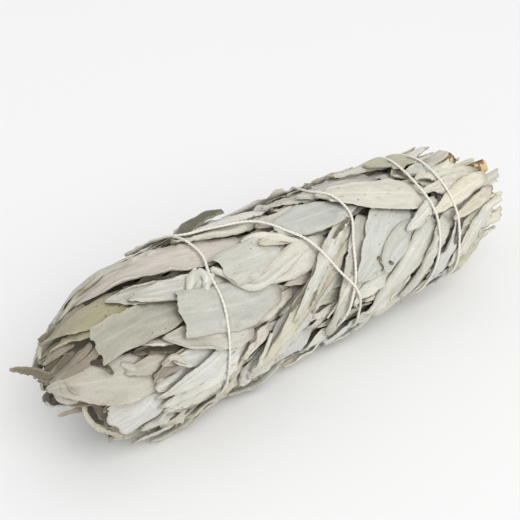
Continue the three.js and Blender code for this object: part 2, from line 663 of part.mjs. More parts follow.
// Each stretch is laid over the earlier ones, so that the thread humps where it crosses itself.
const threadHeights = []
const stretch = 7
const settled = 3
for (let start = 0; start <= threadCount; start += stretch) {
  for (let i = start; i < Math.min(start + stretch, threadCount + 1); i++) {
    threadHeights.push(threadFloor(i) + smallestStep)
  }
  for (let i = Math.max(start - stretch - settled, 0); i < start - settled; i++) {
    alongThread(i, 8, (share, run, angle) => {
      const place = cellAt(run, angle)
      const top = mix(threadHeights[i], threadHeights[i + 1], share) + threadDiameter / 2
      threadPile[place] = Math.max(threadPile[place], top)
    })
  }
}

function thread() {
  const points = threadPlaces.map(([run, angle], i) => straightPoint(run, angle, threadHeights[i]))
  return rod(new THREE.CatmullRomCurve3(points), threadDiameter / 2, 8, threadCount)
}

// From the last leaf laid to the first, lift edges and tips as far as the leaves over them allow.
const ceiling = newGrid(Infinity)
for (let step = 0; step < threadCount; step++) {
  alongThread(step, 10, (share, run, angle) => {
    for (let aside = -1; aside <= 1; aside++) {
      for (let turn = -2.5; turn <= 2.5; turn += 2.5) {
        const place = cellAt(run + aside, angle + turn)
        const underside = mix(threadHeights[step], threadHeights[step + 1], share) - threadDiameter / 2
        ceiling[place] = Math.min(ceiling[place], underside)
      }
    }
  })
}
for (const leaf of laid.toReversed()) {
  const { stations, places, heights, lifts } = leaf
  const [up, mid, low, curl] = lifts
  const room = places.map((row) => row.map(() => Infinity))
  eachPatch(places.length, 6, (i, j, a, b) => {
    const run = patchMix(places, i, j, a, b, (place) => place[0])
    const angle = patchMix(places, i, j, a, b, (place) => place[1])
    const top = patchMix(heights, i, j, a, b, (height) => height) + leafThickness + clearance
    const free = ceiling[cellAt(run, angle)] - top
    for (const [m, n] of [[i, j], [i + 1, j], [i, j + 1], [i + 1, j + 1]]) {
      room[m][n] = Math.min(room[m][n], free)
    }
  })
  stations.forEach((t, i) => {
    if (i === 0) return
    const open = THREE.MathUtils.smoothstep(t, 0.15, 0.6)
    const tipward = Math.max(0, (t - 0.6) / 0.4) ** 2
    const wanted = [low, mid, up].map((lift) => lift * open + curl * tipward)
    wanted.forEach((lift, j) => {
      heights[i][j] += clamp(lift, 0, Math.max(room[i][j], 0))
    })
  })
  eachPatch(places.length, 10, (i, j, a, b) => {
    if (i === 0) return
    const run = patchMix(places, i, j, a, b, (place) => place[0])
    const angle = patchMix(places, i, j, a, b, (place) => place[1])
    const place = cellAt(run, angle)
    ceiling[place] = Math.min(ceiling[place], patchMix(heights, i, j, a, b, (height) => height))
  })
}

// ---- assembly ----
const bunch = new THREE.Group()
bunch.name = 'sage_bunch'
for (let k = 0; k < stemCount; k++) {
  const own = laid.filter((leaf) => leaf.stem === k)
  const grown = wasm.Manifold.union([wedge(k, 0), ...own.map((leaf) => blade(leaf.places, leaf.heights))])
  const stemHole = rod(stemPath(k), stemDiameter / 2 + clearance, stemSides, stemSteps)
  const neighbours = [k - 1, k + 1].map((beside) => wedge(beside, clearance - smallestStep))
  const leafMass = wasm.Manifold.difference([grown, stemHole, ...neighbours])
  const stem = rod(stemPath(k), stemDiameter / 2, stemSides, stemSteps)
  bunch.add(toMesh(`leaves_${k + 1}`, leafMass, colours.leaf[k], leafRoughness))
  bunch.add(toMesh(`stem_${k + 1}`, stem, colours.stem, stemRoughness))
}
bunch.add(toMesh('thread', thread(), colours.thread, threadRoughness))

export default bunch
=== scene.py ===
"""Dried white-sage bunch, dressed: felted leaves with rolled edges, woody stems and a twisted thread.

Lengths are millimetres and angles degrees until a point is placed, and then metres.
X runs along the bunch, from the leaf tips at -X to the cut stems at +X.
Round the bunch an angle of 0 faces -Y, 90 is the top, 180 faces +Y and 270 is the underside.
"""
import math

import bmesh
import bpy
import numpy as np
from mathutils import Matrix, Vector


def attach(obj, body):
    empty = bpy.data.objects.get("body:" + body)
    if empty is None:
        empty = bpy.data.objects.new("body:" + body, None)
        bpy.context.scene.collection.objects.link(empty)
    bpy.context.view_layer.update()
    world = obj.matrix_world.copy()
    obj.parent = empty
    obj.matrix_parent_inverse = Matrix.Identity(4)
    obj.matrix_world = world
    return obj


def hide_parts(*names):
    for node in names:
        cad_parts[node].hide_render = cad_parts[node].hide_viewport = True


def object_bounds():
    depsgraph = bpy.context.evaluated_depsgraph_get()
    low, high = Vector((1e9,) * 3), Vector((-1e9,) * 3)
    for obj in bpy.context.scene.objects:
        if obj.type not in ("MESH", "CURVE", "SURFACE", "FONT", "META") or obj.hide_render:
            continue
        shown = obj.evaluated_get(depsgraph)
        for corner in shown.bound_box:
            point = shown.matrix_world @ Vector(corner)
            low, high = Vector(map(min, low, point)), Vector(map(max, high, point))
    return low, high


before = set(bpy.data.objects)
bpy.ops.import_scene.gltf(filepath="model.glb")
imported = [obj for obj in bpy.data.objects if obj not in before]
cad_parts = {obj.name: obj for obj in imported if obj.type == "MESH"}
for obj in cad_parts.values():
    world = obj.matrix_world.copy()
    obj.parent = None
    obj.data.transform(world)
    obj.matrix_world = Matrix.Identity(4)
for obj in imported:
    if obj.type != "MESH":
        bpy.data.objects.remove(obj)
cad_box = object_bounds()
MM = 0.001

# ---- driving dimensions, as in the solid model ----
AXIS_HEIGHT = 24.1       # the bunch's axis over the surface, in its round middle
MIDDLE_X = -2.1          # middle of the whole bunch's box, along and across the axis
MIDDLE_Y = -0.4
STEM_COUNT = 7
FIRST_STEM_ANGLE = 14
STEM_DIAMETER = 4.8
STEM_ORBIT = 11.8        # the stems' distance from the axis
STEM_INNER_END = -30
STEM_REACH = (75, 77.5, 73, 76, 78, 74.5, 76.5)     # where each stem is cut, along X
CORE_END = 68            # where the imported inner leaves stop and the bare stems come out
CLEARANCE = 0.35         # between the leaves of two stems
FOLD_GAP = 0.08          # between leaves of one stem
EDGE_GAP = 0.6           # kept clear beside a leaf's edge
LAYER = 0.65             # room that each leaf takes up in the pile
ROOT_DEPTH = 2.2         # how far a leaf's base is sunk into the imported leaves
ROOT_RUN = 3.5           # length over which a base dives into them
ROOT_SEARCH = 9          # distance searched towards the stem ends for a place to grow from
WEDGE_MARGIN = 9         # degrees kept clear of the sides of a stem's wedge
WIDEST_AT = 0.45         # share of a leaf's length at which it is widest
THREAD_DIAMETER = 0.8

# ---- what only the dressed bunch has ----
LEAF_THICKNESS = 0.25
LEAF_MESH = (0.72, 20)   # spacing of a leaf's mesh along its length, and faces across it
PLAIN_LEAF_MESH = (1.25, 12)  # the same for a leaf on the far side, and for one deep in the pile
BASE_WIDTH = 0.36        # a leaf's width at the base, as a share of the widest
CROWN = 0.45             # how far a leaf 10 wide bulges in its middle
TORN = 0.5               # leaves blunter than this have a torn end; the others have a rounded tip
ROLL_STRIP = 1.9         # width of the strip along a leaf's edge that rolls up or under
STRAP_ROOT = 76          # leaves of the stem end may grow from among the stalks, this far along X
FILLING_DEPTH = 2.1      # how far under the solid model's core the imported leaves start
FILLING_LAYER = 0.45     # room that an inner leaf takes up in the pile
THREAD_TWIST = 2.3       # length in which the thread's two plies go round once
SPARE = 1.0              # how far a leaf may spring out of the solid model's box

# Seeds of the random draws. A leaf's, a curl's or a stem's own number is added to the first five.
EDGE_SEED = 1000
SPRING_SEED = 2000
CREASE_SEED = 3000
CURL_SEED = 5000
STEM_SEED = 40
HIDDEN_SEED = 7
OVER_SEED = 31
INNER_SEED = 5
STALK_SEED = 21

# Outline of the bunch: (along X, radius, how far the axis is lowered there).
OUTLINE = (
    (-79, 3, -5.5), (-77.5, 8, -5.5), (-75, 11.5, -5.5), (-71, 14.8, -5.2), (-66, 17.4, -4.1),
    (-60, 19.8, -2.5), (-52, 21.6, -1), (-42, 22.6, -0.2), (-30, 23, 0), (-15, 22.6, 0),
    (0, 22.2, 0), (15, 22, 0), (28, 22, 0), (38, 21.7, 0), (48, 20.6, 0),
    (57, 19.2, 0), (65, 17.6, 0), (72, 16.1, 0), (79, 14.5, 0),
)
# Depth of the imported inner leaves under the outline: (along X, depth).
CORE_INSET = ((-79, 4.5), (40, 4.4), (52, 3.6), (64, 3.1), (72, 1.3), (79, 0.1))

# Dried leaf colours, as they look on screen. Shade is no leaf's colour: it is painted shade, for dark sheets
# and strips that stand in for the shade of deep gaps.
TONES = {
    "white": (0.85, 0.85, 0.825), "cream": (0.845, 0.835, 0.77), "pale": (0.825, 0.82, 0.785),
    "blue": (0.815, 0.82, 0.805), "pink": (0.805, 0.785, 0.76), "yellow": (0.80, 0.795, 0.735),
    "grey": (0.785, 0.785, 0.755), "beige": (0.78, 0.765, 0.72), "sage": (0.72, 0.72, 0.675),
    "straw": (0.72, 0.70, 0.58), "olive": (0.70, 0.70, 0.62), "brown": (0.61, 0.57, 0.52),
    "umber": (0.47, 0.44, 0.38), "dark": (0.36, 0.36, 0.30), "shade": (0.25, 0.23, 0.19),
}

# Leaves that stand out, from the blunt end to the stems. They are laid in the order of their base x:
# (base x, angle,  middle x, angle,  tip x, angle,  width, tip bluntness,
#  lift of the upper edge, of the midrib, of the lower edge, outward curl of the tip, tone)
LEAVES = (
    # tips crumpled into the blunt end
    (-58, 70, -68, 66, -77, 75, 7, 0.3, 0.5, 0, 0.8, 0, "umber"),
    (-59, 58, -68, 56, -76.5, 62, 7, 0.3, 0.6, 0, 0.4, 0.6, "brown"),
    (-57, 46, -67, 42, -75, 42, 6, 0.3, 0.8, 0, 0.5, 0, "umber"),
    (-58, 32, -66, 26, -73, 24, 5.5, 0.25, 0.4, 0, 0.6, 1, "brown"),
    # the two leaves toned shade are dark sheets, painted in as the shade of deep gaps in the blunt end
    (-51, 52, -61, 62, -71, 76, 7, 0.3, 0, 0, 0, 0, "shade"),
    (-51, -6, -59, 6, -69, 26, 6, 0.3, 0, 0, 0, 0, "shade"),
    (-50, -35, -60, -25, -71, 4, 8, 0.15, 0, 0, 0.6, 0, "olive"),
    (-50, -12, -56, -8, -61.5, 0, 6, 0.3, 0.6, 0, 0, 0, "brown"),
    (-49, 12, -57, 2, -64.5, -9, 13.5, 0.9, 0, 0.3, 0.6, 0, "white"),
    (-48, 14, -62, 28, -76, 52, 10.5, 0.12, 0, 0.3, 1.8, 0, "beige"),
    (-50, 60, -64, 76, -75, 94, 7, 0.3, 0, 0.4, 1.2, 0, "straw"),
    (-44, 22, -52, 25, -60.5, 29, 5, 0.12, 0.2, 0.5, 1.0, 0, "beige"),
    # a dark sheet toned shade, painted in as the shade of a gap between leaves
    (-43, 22, -50, 31, -57, 38, 3.5, 0.3, 0, 0, 0, 0, "shade"),
    (-42, 20, -48, 21, -55, 16, 4.2, 0.2, 1.3, 0, 1.2, 0, "beige"),
    # a dark sheet toned shade, painted in as the shade of a gap between leaves
    (-41, 38, -50, 42, -61, 47, 4, 0.3, 0, 0, 0, 0, "shade"),
    (-42, 35, -49, 37, -56, 43, 4, 0.4, 0.3, 0, 0.4, 0, "white"),
    (-42, -12, -50, -22, -58, -28, 8.5, 0.3, 0.5, 0, 0.4, 0, "white"),
    (-40, 62, -57, 75, -72, 98, 10, 0.15, 0, 0.3, 0.7, 0, "straw"),
    (-38, 49, -52, 51, -63.5, 55, 9, 0.85, 0.3, 0.3, 1.1, 0.5, "sage"),
    (-34, -42, -46, -52, -58, -60, 10, 0.2, 0.4, 1.2, 2.4, 0, "pale"),
    (-34, 112, -50, 115, -66, 120, 10, 0.2, 0.4, 0, 0.4, 0, "straw"),
    (-30, 58, -45, 64, -57, 78, 7.5, 0.15, 0.2, 0, 0.8, 0, "pale"),
    # a dark sheet toned shade, painted in as the shade of a gap between leaves
    (-31, 58, -42, 70, -54, 80, 4, 0.3, 0, 0, 0, 0, "shade"),
    (-30, -8, -41, -24, -51, -42, 7, 0.3, 0.3, 0, 1.6, 0, "yellow"),
    (-27, 14, -40, 8, -55, 12, 7, 0.3, 0, 0.3, 0.9, 0, "white"),
    (-26, 8, -38, 14, -49.5, 23, 7.5, 0.15, 0, 0, 0.3, 0, "blue"),
    (-24, -18, -35, -32, -46, -48, 6, 0.3, 0.7, 0.6, 1.6, 0, "yellow"),
    (-25.5, 4, -36, -13, -52, -17, 4.4, 0.2, 0.5, 0.3, 0.8, 0, "blue"),
    (-25, 12, -38, -6, -53.5, -8, 4.6, 0.15, 0.5, 0.3, 0.8, 0, "white"),
    (-24.5, 20, -39, 1, -55, -1, 4.6, 0.2, 0.4, 0.3, 0.8, 0, "white"),
    (-24, 24, -41, 9, -55.5, 6, 4, 0.15, 0.5, 0.3, 0.8, 0, "blue"),
    (-22, 14, -38, 25, -50.5, 38, 7, 0.15, 0.9, 0, 0.5, 0, "beige"),
    (-22, 97, -42, 100, -66, 109, 7, 0.2, 0.3, 0.2, 1.2, 0, "yellow"),
    (-16, -40, -27, -52, -39, -60, 9, 0.2, 0.3, 1.6, 3.2, 0.8, "yellow"),
    (-14, 51, -33, 55, -53, 67, 8, 0.2, 0, 0.2, 0.4, 0, "pale"),
    (-12, 84, -35, 82, -62, 97, 11.5, 0.15, 0, 0.3, 0.8, 0, "pink"),
    (-10, 34, -27, 35, -44.5, 45, 12, 0.85, 0.2, 0.3, 0.7, 1, "grey"),
    # middle
    (-16, 11, -24, 7, -31, 3, 4.5, 0.4, 0.5, 0, 0.5, 0, "pale"),
    (-10, -10, -19, -26, -26, -42, 8, 0.25, 0.3, 0.8, 1.8, 0, "white"),
    (-6, 124, -15, 121, -27, 114, 8, 0.4, 0.4, 0.4, 1.2, 0, "olive"),
    (-2, 62, -14, 60, -28, 58, 13, 0.8, 0.5, 1.4, 0.8, 0.4, "grey"),
    (-2, 95, -15, 94, -32, 97, 7.5, 0.25, 0.2, 0.2, 0.6, 0, "yellow"),
    (0, -15, -8, -35, -18, -54, 9, 0.25, 0.3, 1.6, 3.4, 1.5, "blue"),
    (2, -48, -11, -56, -24, -62, 8, 0.2, 0.3, 1.8, 3.4, 0.8, "olive"),
    (2, 107, -12, 107, -30, 108, 9, 0.2, 0.3, 0, 0.3, 0, "white"),
    (4, 66, -4, 66, -13, 67, 6, 0.3, 0.4, 0, 0.6, 0, "yellow"),
    (10, 50, -4, 46, -18, 42, 10, 0.4, 0.2, 0.3, 0.3, 0, "pale"),
    (12, 38, -10, 2, -24, -37, 9.5, 0.15, 0, 0.4, 0.8, 0, "blue"),
    (14, -28, 4, -45, -8, -62, 10, 0.2, 0.3, 2.2, 4.4, 1.5, "pale"),
    (14, 84, 2, 84, -9, 84, 6.5, 0.4, 0.2, 0.2, 0.6, 0, "pink"),
    (18, 58, -3, 22, -25, -24, 7, 0.12, 0.3, 0.4, 0.9, 0, "yellow"),
    (18.5, 64, 3, 40, -12, 6, 4.2, 0.12, 0.5, 0.3, 0.8, 0, "pale"),
    (18, 57, 10, 50, 2, 36, 5, 0.3, 0.4, 0, 0.4, 0, "pink"),
    (24, 72, 8, 72, -6, 74, 12, 0.5, 0.2, 0.5, 0.6, 0, "grey"),
    (24, 62, 12, 20, 3, -34, 9.5, 0.15, 0.3, 0.3, 0.9, 0, "grey"),
    # towards the stems
    (30, -30, 20, -45, 6, -60, 10, 0.2, 0.3, 2.0, 4.0, 1.5, "blue"),
    (30, -2, 20, 2, 10, -8, 8, 0.25, 0.2, 0.2, 0.6, 0, "pale"),
    (30, 104, 14, 104, -2, 102, 10, 0.2, 0.4, 0, 0.3, 0, "beige"),
    (38, 62, 26, 40, 11, 10, 13.5, 0.2, 0.2, 0.5, 0.9, 0, "grey"),
    (38, 88, 24, 92, 8, 96, 10, 0.2, 0.2, 0.2, 0.5, 0, "pink"),
    (40, 32, 30, 26, 21, 12, 10, 0.6, 0.3, 0.3, 0.7, 0, "grey"),
    (50, 43, 40, 39, 30, 33, 4.8, 0.3, 0.4, 0.2, 0.6, 0, "white"),
    (46, -20, 36, -38, 24, -54, 9, 0.2, 0.3, 1.6, 3.2, 1, "pale"),
    (46, 36, 33, 8, 15, -40, 10.5, 0.15, 0.6, 0.3, 0.9, 0, "pale"),
    (48, 44, 32, 66, 12, 88, 13, 0.2, 0.2, 0.4, 0.7, 0, "pale"),
    (50, 32, 42, 10, 31, -32, 8, 0.2, 0.4, 0.2, 0.7, 0, "grey"),
    (52, 108, 38, 106, 22, 106, 10, 0.25, 0.3, 0, 0.4, 0, "yellow"),
    (56, 22, 49, 4, 42, -28, 7, 0.2, 0.4, 0.2, 0.7, 0, "blue"),
    (58, -15, 50, -30, 38, -48, 8, 0.2, 0.3, 0, 0.5, 0, "white"),
    (58, 96, 46, 95, 33, 96, 9, 0.3, 0.3, 0, 0.8, 0, "olive"),
    (64, 74, 56, 74, 43, 78, 7, 0.3, 0.3, 0.2, 0.6, 0, "grey"),
    (70, -30, 60, -38, 46, -56, 8, 0.2, 0.3, 0.2, 0.6, 0, "pale"),
    (72, -14, 58, -26, 42, -46, 8, 0.2, 0.4, 0.2, 0.6, 0, "grey"),
    (73, 60, 60, 63, 44, 68, 5.5, 0.3, 0.3, 0.2, 0.6, 0, "cream"),
    (73, 50, 58, 52, 42, 55, 5.5, 0.3, 0.3, 0.1, 0.6, 0, "pale"),
    (74, 0, 61, -7, 49, -26, 5, 0.2, 0.5, 0.1, 0.6, 0, "olive"),
    (74.5, 40, 58, 43, 42, 36, 5.5, 0.2, 0.4, 0.2, 0.6, 0, "cream"),
    (75, 14, 61, 5, 48, -18, 5, 0.2, 0.5, 0.2, 0.7, 0, "pale"),
    (75.5, 30, 62, 29, 50, 24, 5, 0.2, 0.5, 0.2, 0.6, 0, "cream"),
    # leaf stalks that lie along the cut stems
    (60, 46, 68, 44, 77, 42, 5.5, 0.7, 0.2, 0.4, 0.2, 0, "cream"),
    (61, 17, 69, 16, 78, 14, 5.5, 0.7, 0.2, 0.4, 0.2, 0, "cream"),
    (60, -9, 68, -9, 78, -9, 6, 0.7, 0.2, 0.4, 0.2, 0, "beige"),
)

# Leaves on the far side and the underside, laid in rows by a rule with seeded draws.
HIDDEN_FROM = 130
HIDDEN_TO = 300
ROW_TIPS = (-77, -60, -42, -24, -6, 12, 30)
ROW_LEAF_COUNT = 5
ROW_LEAF_LENGTH = 46
ROW_LEAF_WIDTH = 14
LAST_BASE = 64           # hidden and strayed leaves grow no further along X
NARROWED_UNDER = 152     # hidden leaves at smaller angles, near the top edge, are narrower here
NARROWED = 0.55
HIDDEN_TIPS_FROM = 142   # their tips stay behind the top edge
HIDDEN_TONES = ("grey", "pale", "beige", "yellow", "grey", "white", "pink", "olive")

# Inner leaves that only the dressed bunch has, in rows of their tips along X.
FILLING_TIPS = (-77, -74, -70, -63, -56, -49, -41, -33, -25, -17, -9, -1, 7, 15, 23, 31, 39, 47)
FILLING_FROM = -72
FILLING_TO = 145         # beyond this angle other leaves hide them
FILLING_LAST_BASE = 66
FILLING_UNDER = (11, 12, 5, 8.5)      # seed of the draws, leaves per row, narrowest, widest
FILLING_BETWEEN = (12, 10, 2.8, 6)
BETWEEN_LAG = 20         # a leaf in between goes under listed ones that start up to this much nearer the tips
TOP_CLEAR = (-45, 75)    # leaves in between keep their tips off the top of the blunt end: (along X, angle)
FILLING_TONES = ("beige", "yellow", "grey", "pale", "pale", "yellow", "grey")
BLUNT_END = -54          # inner leaves with tips beyond this are the browner ones
BLUNT_END_TONES = ("beige", "olive", "brown", "brown", "umber", "grey")
# How near the blunt end the tips of the extra and hidden leaves reach: (angle, along X).
TIP_LIMITS = ((-75, -63), (-45, -61), (-10, -66), (6, -70), (24, -73), (45, -77))

# Narrow leaves that only the dressed bunch has, strayed over the far side and the underside.
OVER_COUNT = 22
OVER_TIPS = (-74, 108)   # where their tips start along X, and the length they spread over
OVER_ANGLES = (152, 104)  # the same round the bunch
GOLDEN_SHARE = 0.618     # steps of this share keep neighbours apart round the bunch

# The leaves pressed flat on the underside, on which the bunch rests:
# (base x, angle,  tip x, angle,  width).
PRESSED_LEAVES = ((-6, 264, -29, 272, 12), (36, 269, 23, 271, 12))
PRESSED_FROM = 6         # they lie flat from this far along them

# Curled leaf ends, folds and stalks that lie on the leaves:
# (places as (along X, angle, height over the leaves), width, curl across, twist, tone).
# A curl above 0 turns the edges out and one below 0 turns them in; 3.1 makes a closed tube.
CURLS = (
    # thin tip that stands off the blunt end
    (((-73, 56, -1.5), (-75, 65, 1.5), (-75.5, 74, 4), (-76, 80, 6.8), (-76.5, 87, 10)),
     3.0, -1.2, 0.4, "umber"),
    # crumpled ends along the top of the blunt end
    (((-60, 95, -0.5), (-67, 97, 0.1), (-73, 99, -0.2)), 3.4, -1.5, 0.4, "brown"),
    (((-55, 101, -0.5), (-62, 103, 0.1), (-69, 107, -0.2)), 3.2, -1.6, 0.5, "umber"),
    (((-50, 106, -0.5), (-57, 108, 0), (-64, 112, -0.8)), 3, 1.4, -0.5, "brown"),
    (((-46, 109, -0.5), (-51, 110, 0), (-57, 114, -0.9)), 2.8, -1.6, 0.5, "umber"),
    (((-40, 104, -0.5), (-46, 106, 0), (-52, 109, -0.9)), 2.8, -1.6, 0.4, "olive"),
    (((-35, 108, -0.5), (-40, 108, 0), (-45, 109, -1.2)), 2.6, -1.6, 0.4, "brown"),
    # dark leaf that stands up behind the thread
    (((-12, 113, 2.6), (-16, 115, 3.3), (-22, 112, 2.6), (-27, 106, 1.0), (-31, 102, -0.3)),
     6, -0.9, 0.3, "dark"),
    # twisted stalk, its side shoot and the rolled leaf rim below it
    (((-66, 32, -1.5), (-69.5, 27, 0.5), (-70.5, 16, 1), (-70, 6, 0.8)), 2.0, -2.2, 1.5, "brown"),
    (((-70, 16, 1.6), (-71.5, 12, 3.2), (-73.5, 11, 3.9), (-76, 8, 4.5)), 2.6, -2.0, 1, "brown"),
    (((-70.5, 21, 2.4), (-70.5, 9, 2.8), (-68.5, -7, 3.2), (-64.5, -22, 2.3), (-59, -40, 1.6)),
     1.5, 1.8, 0.8, "yellow"),
    (((-75, 55, -0.5), (-74.5, 41, 0.5), (-73.5, 30, 0.8), (-71, 24, 0.3)), 3.4, -1.3, 0.5, "beige"),
    (((-73, 48, -0.5), (-72, 36, 0.5), (-70, 28, 0)), 2.8, 1.5, -0.5, "olive"),
    # crumpled ends under the yellow leaf
    (((-63.5, 53, -0.5), (-67, 50, 0.7), (-71, 51, 0.4), (-74, 52, 0)), 3.2, -1.3, 0.4, "brown"),
    (((-64, 60, -0.8), (-68, 58, 0.6), (-72, 56, 0.4), (-75, 56, 0)), 3.2, -1.4, -0.3, "brown"),
    (((-65.5, 63, -0.8), (-69.5, 64, 0.5), (-73, 63, 0.3), (-76, 62, 0)), 3, -1.3, 0.4, "umber"),
    (((-67, 69, -0.8), (-70, 74, 0.4), (-74, 77, 0.2)), 3, -1.4, 0.3, "brown"),
    (((-68, 76, -0.8), (-71, 85, 0.4), (-73.5, 90, 0.2)), 2.8, -1.3, -0.3, "umber"),
    (((-67, 33, -1), (-71, 33, 0.4), (-75, 34, 0.2)), 3.4, -1.4, 0.4, "beige"),
    (((-66, 22, -1), (-70, 23, 0.4), (-73.5, 25, 0.2)), 3.4, 1.2, -0.4, "umber"),
    (((-65, 12, -1.5), (-69, 13, 0), (-72.5, 15, 0)), 3.6, -1.4, 0.4, "brown"),
    (((-68, 14, 1.6), (-67, -1, 0.6), (-62.5, -29, -1.4)), 4, -0.8, 0.3, "umber"),
    # a dark strip toned shade, painted in as the shade of the hollow under the rim
    (((-69.5, 12, 1.5), (-68.5, -4, 1), (-64.5, -26, 0.5)), 4, -0.9, 0.3, "shade"),
    (((-55.5, 21, -0.3), (-58.5, 29, 0.5), (-60.5, 36, 0.2)), 2.8, -1.1, 0.3, "beige"),
    # a dark strip toned shade, painted in as the shade of a hollow
    (((-66, 50, -0.3), (-63.5, 42, 1), (-62.5, 34, 1.4)), 2.6, -1.5, 0.6, "shade"),
    (((-69, 97, -0.3), (-72, 99, 0.8), (-74, 90, 0.8)), 2.6, -2.0, 0.8, "yellow"),
    # folded end beside the pale leaf
    (((-54.5, 17, 0), (-51, 18, 0.8), (-46.5, 17, 0.5)), 2.8, -1.6, 0.5, "brown"),
    (((-52, 22, 0), (-49, 25, 0.8), (-46.5, 18, 0.8)), 2.4, -1.6, 0.8, "beige"),
    # two rolled ends by the thread
    (((-33, 68, -0.5), (-36.5, 60, 1), (-40.5, 50, 0.3)), 3.4, -1.7, 0.3, "pale"),
    (((-32, 67, -0.5), (-32.5, 59, 0.8), (-35.5, 50, 0.3)), 3.0, -1.7, -0.3, "white"),
    (((-30, 59, -0.5), (-34, 52, 0.8), (-35, 44, 0.3)), 2.8, -1.7, 0.3, "pale"),
    # gathered folds of the wide middle leaf
    (((-29.5, 63, 0), (-27, 53, 0.8), (-24.5, 44.5, 1), (-20.5, 40.5, 1),
      (-15, 42, 1), (-8, 46, 0.8), (-3, 49, 0)),
     3.2, -1.4, 0.3, "grey"),
    (((-23, 67, 0), (-24, 57, 0.6), (-23, 48, 0.8), (-19.5, 44.5, 0.8), (-15, 46, 0.3)),
     2.6, -1.2, 0.3, "pale"),
    (((-16, 75, 0), (-12, 75.5, 0.7), (-8, 69, 0.8), (-2, 57, 0.2)), 4, -1.2, 0.2, "pale"),
    # dark strips painted in as the shade of slits between the leaves
    (((15.5, 58, 0), (8.5, 50, 0.3), (2.5, 43, 0)), 1.4, -0.5, 0.2, "shade"),
    (((-2, 28, 0), (-8, 21, 0.3), (-12.5, 12, 0)), 1.4, -0.5, 0.2, "shade"),
    (((19, 23, 0), (22.5, 17, 0.3), (25.5, 10, 0)), 1.4, -0.5, 0.2, "shade"),
    (((-41.5, -20, 0), (-43.5, -33, 0.3), (-44.5, -44, 0)), 1.6, -0.5, 0.2, "shade"),
    (((-23.5, -3, 0), (-27, -7, 0.3), (-30.5, -11, 0)), 1.3, -0.5, 0.2, "shade"),
    # narrow strips in the fan that the thread crosses
    (((17, 61, -0.3), (8, 46, 0.3), (4, 36, -0.6), (1, 29, -0.4), (-4, 20, 0)), 2.6, -1.2, 0.4, "yellow"),
    (((12, 52, -0.2), (8, 45, 0), (4, 35, -0.6), (-1, 25, 0.2), (-6, 8, 0)), 2.4, 1.2, 0.5, "beige"),
    (((4, 33, -0.8), (-0.5, 19, 0.3), (-3, 7, 0.6), (-2, -14, 0)), 2.2, -1.5, 0.5, "brown"),
    (((11, 16, -0.3), (6.5, 2, 0.5), (2, -13, 0)), 2.4, -1.2, 0.3, "pale"),
    # folded edges low on the near side
    (((-22, 5, -0.3), (-29, 1, 0.6), (-32, -9, 0.2)), 2.4, -1.2, 0.4, "beige"),
    (((-18, 2, -0.3), (-22.5, -16, 0.6), (-24, -26, 0)), 2.4, -1.2, 0.4, "yellow"),
    (((-43, -46, -0.3), (-50, -50, 1.6), (-58, -50, 2.2)), 5, -1.2, 0.4, "pale"),
    (((-36, -48, 0), (-44, -55, 2.2), (-52, -58, 2.6)), 5, 1.1, -0.4, "yellow"),
    (((-26, -50, 0), (-33, -56, 2.0), (-40, -60, 2.8)), 5, -1.2, 0.4, "beige"),
    (((-10, -46, 0), (-18, -54, 2.2), (-27, -58, 2.6)), 5, 1.1, -0.4, "grey"),
    (((10, -44, 0), (2, -54, 2.4), (-8, -58, 2.8)), 5, -1.2, 0.4, "yellow"),
    (((24, -44, 0), (17, -54, 2.2), (7, -58, 2.6)), 5, 1.1, -0.4, "pale"),
    # towards the stems
    # a dark strip toned shade, painted in as the shade of a slit
    (((60, 24, -0.3), (54.5, 19, 0.5), (51.5, 8, 0.6), (50.5, -8, 0)), 3.2, -1.0, 0.4, "shade"),
    (((50, 89, -0.3), (54, 88, 1.2), (57, 85, 2.6), (59, 81, 4)), 1.6, -1.2, 0.5, "beige"),
)

# The thread's route, wound from the stems to the leaf tips and back: (along X, angle).
THREAD_ROUTE = (
    (38, 190), (46, 150), (51, 118), (52, 95), (51.5, 60), (51.5, 20), (50.5, -20), (48.5, -70),
    (46.5, -130), (44.5, -190), (43.5, -240), (43, -290), (43, -340), (42.3, -372), (41, -410),
    (39.5, -450), (35, -490), (28, -530), (20, -570), (14, -610), (13, -625), (16, -640), (16.5, -660),
    (13, -680), (11, -700), (9, -720), (8, -740), (5, -780), (2, -810), (-6, -850), (-15, -890),
    (-25, -935), (-29.5, -975), (-29, -1005), (-31, -1020), (-32, -1040), (-34, -1060),
    (-35, -1080), (-34.5, -1100), (-34, -1150), (-33, -1200), (-32, -1250), (-31.5, -1300),
    (-29, -1336), (-20, -1343), (-10, -1351), (-4, -1372), (-0.5, -1383), (4, -1408),
    (10, -1432), (13, -1452), (16, -1490), (19, -1530), (23, -1575), (28, -1620),
)


# ---- small helpers ----
def stack(*parts):
    """Grids or numbers side by side, as one grid of vectors."""
    return np.stack(np.broadcast_arrays(*parts), -1)


def unit(vectors):
    return vectors / np.linalg.norm(vectors, axis=-1, keepdims=True)


def turns_round(sides):
    """Angles of so many places round a circle, in radians."""
    return np.arange(sides) * 2 * np.pi / sides


def directions(centre, outward):
    """Sideways and outward directions along a line of points, square to it."""
    along = unit(np.gradient(centre, axis=0))
    side = unit(np.cross(along, outward))
    return side, np.cross(side, along)


def smoothstep(values, low, high):
    share = np.clip((values - low) / (high - low), 0, 1)
    return share * share * (3 - 2 * share)


def blur(values, widths):
    """Gaussian smoothing of a grid, by so many cells along and across."""
    for axis, width in enumerate(widths):
        places = np.arange(values.shape[axis])
        weights = np.exp(-0.5 * ((places[:, None] - places) / max(width, 1e-3)) ** 2)
        weights /= weights.sum(1, keepdims=True)
        values = np.moveaxis(np.tensordot(weights, values, (1, axis)), 0, axis)
    return values


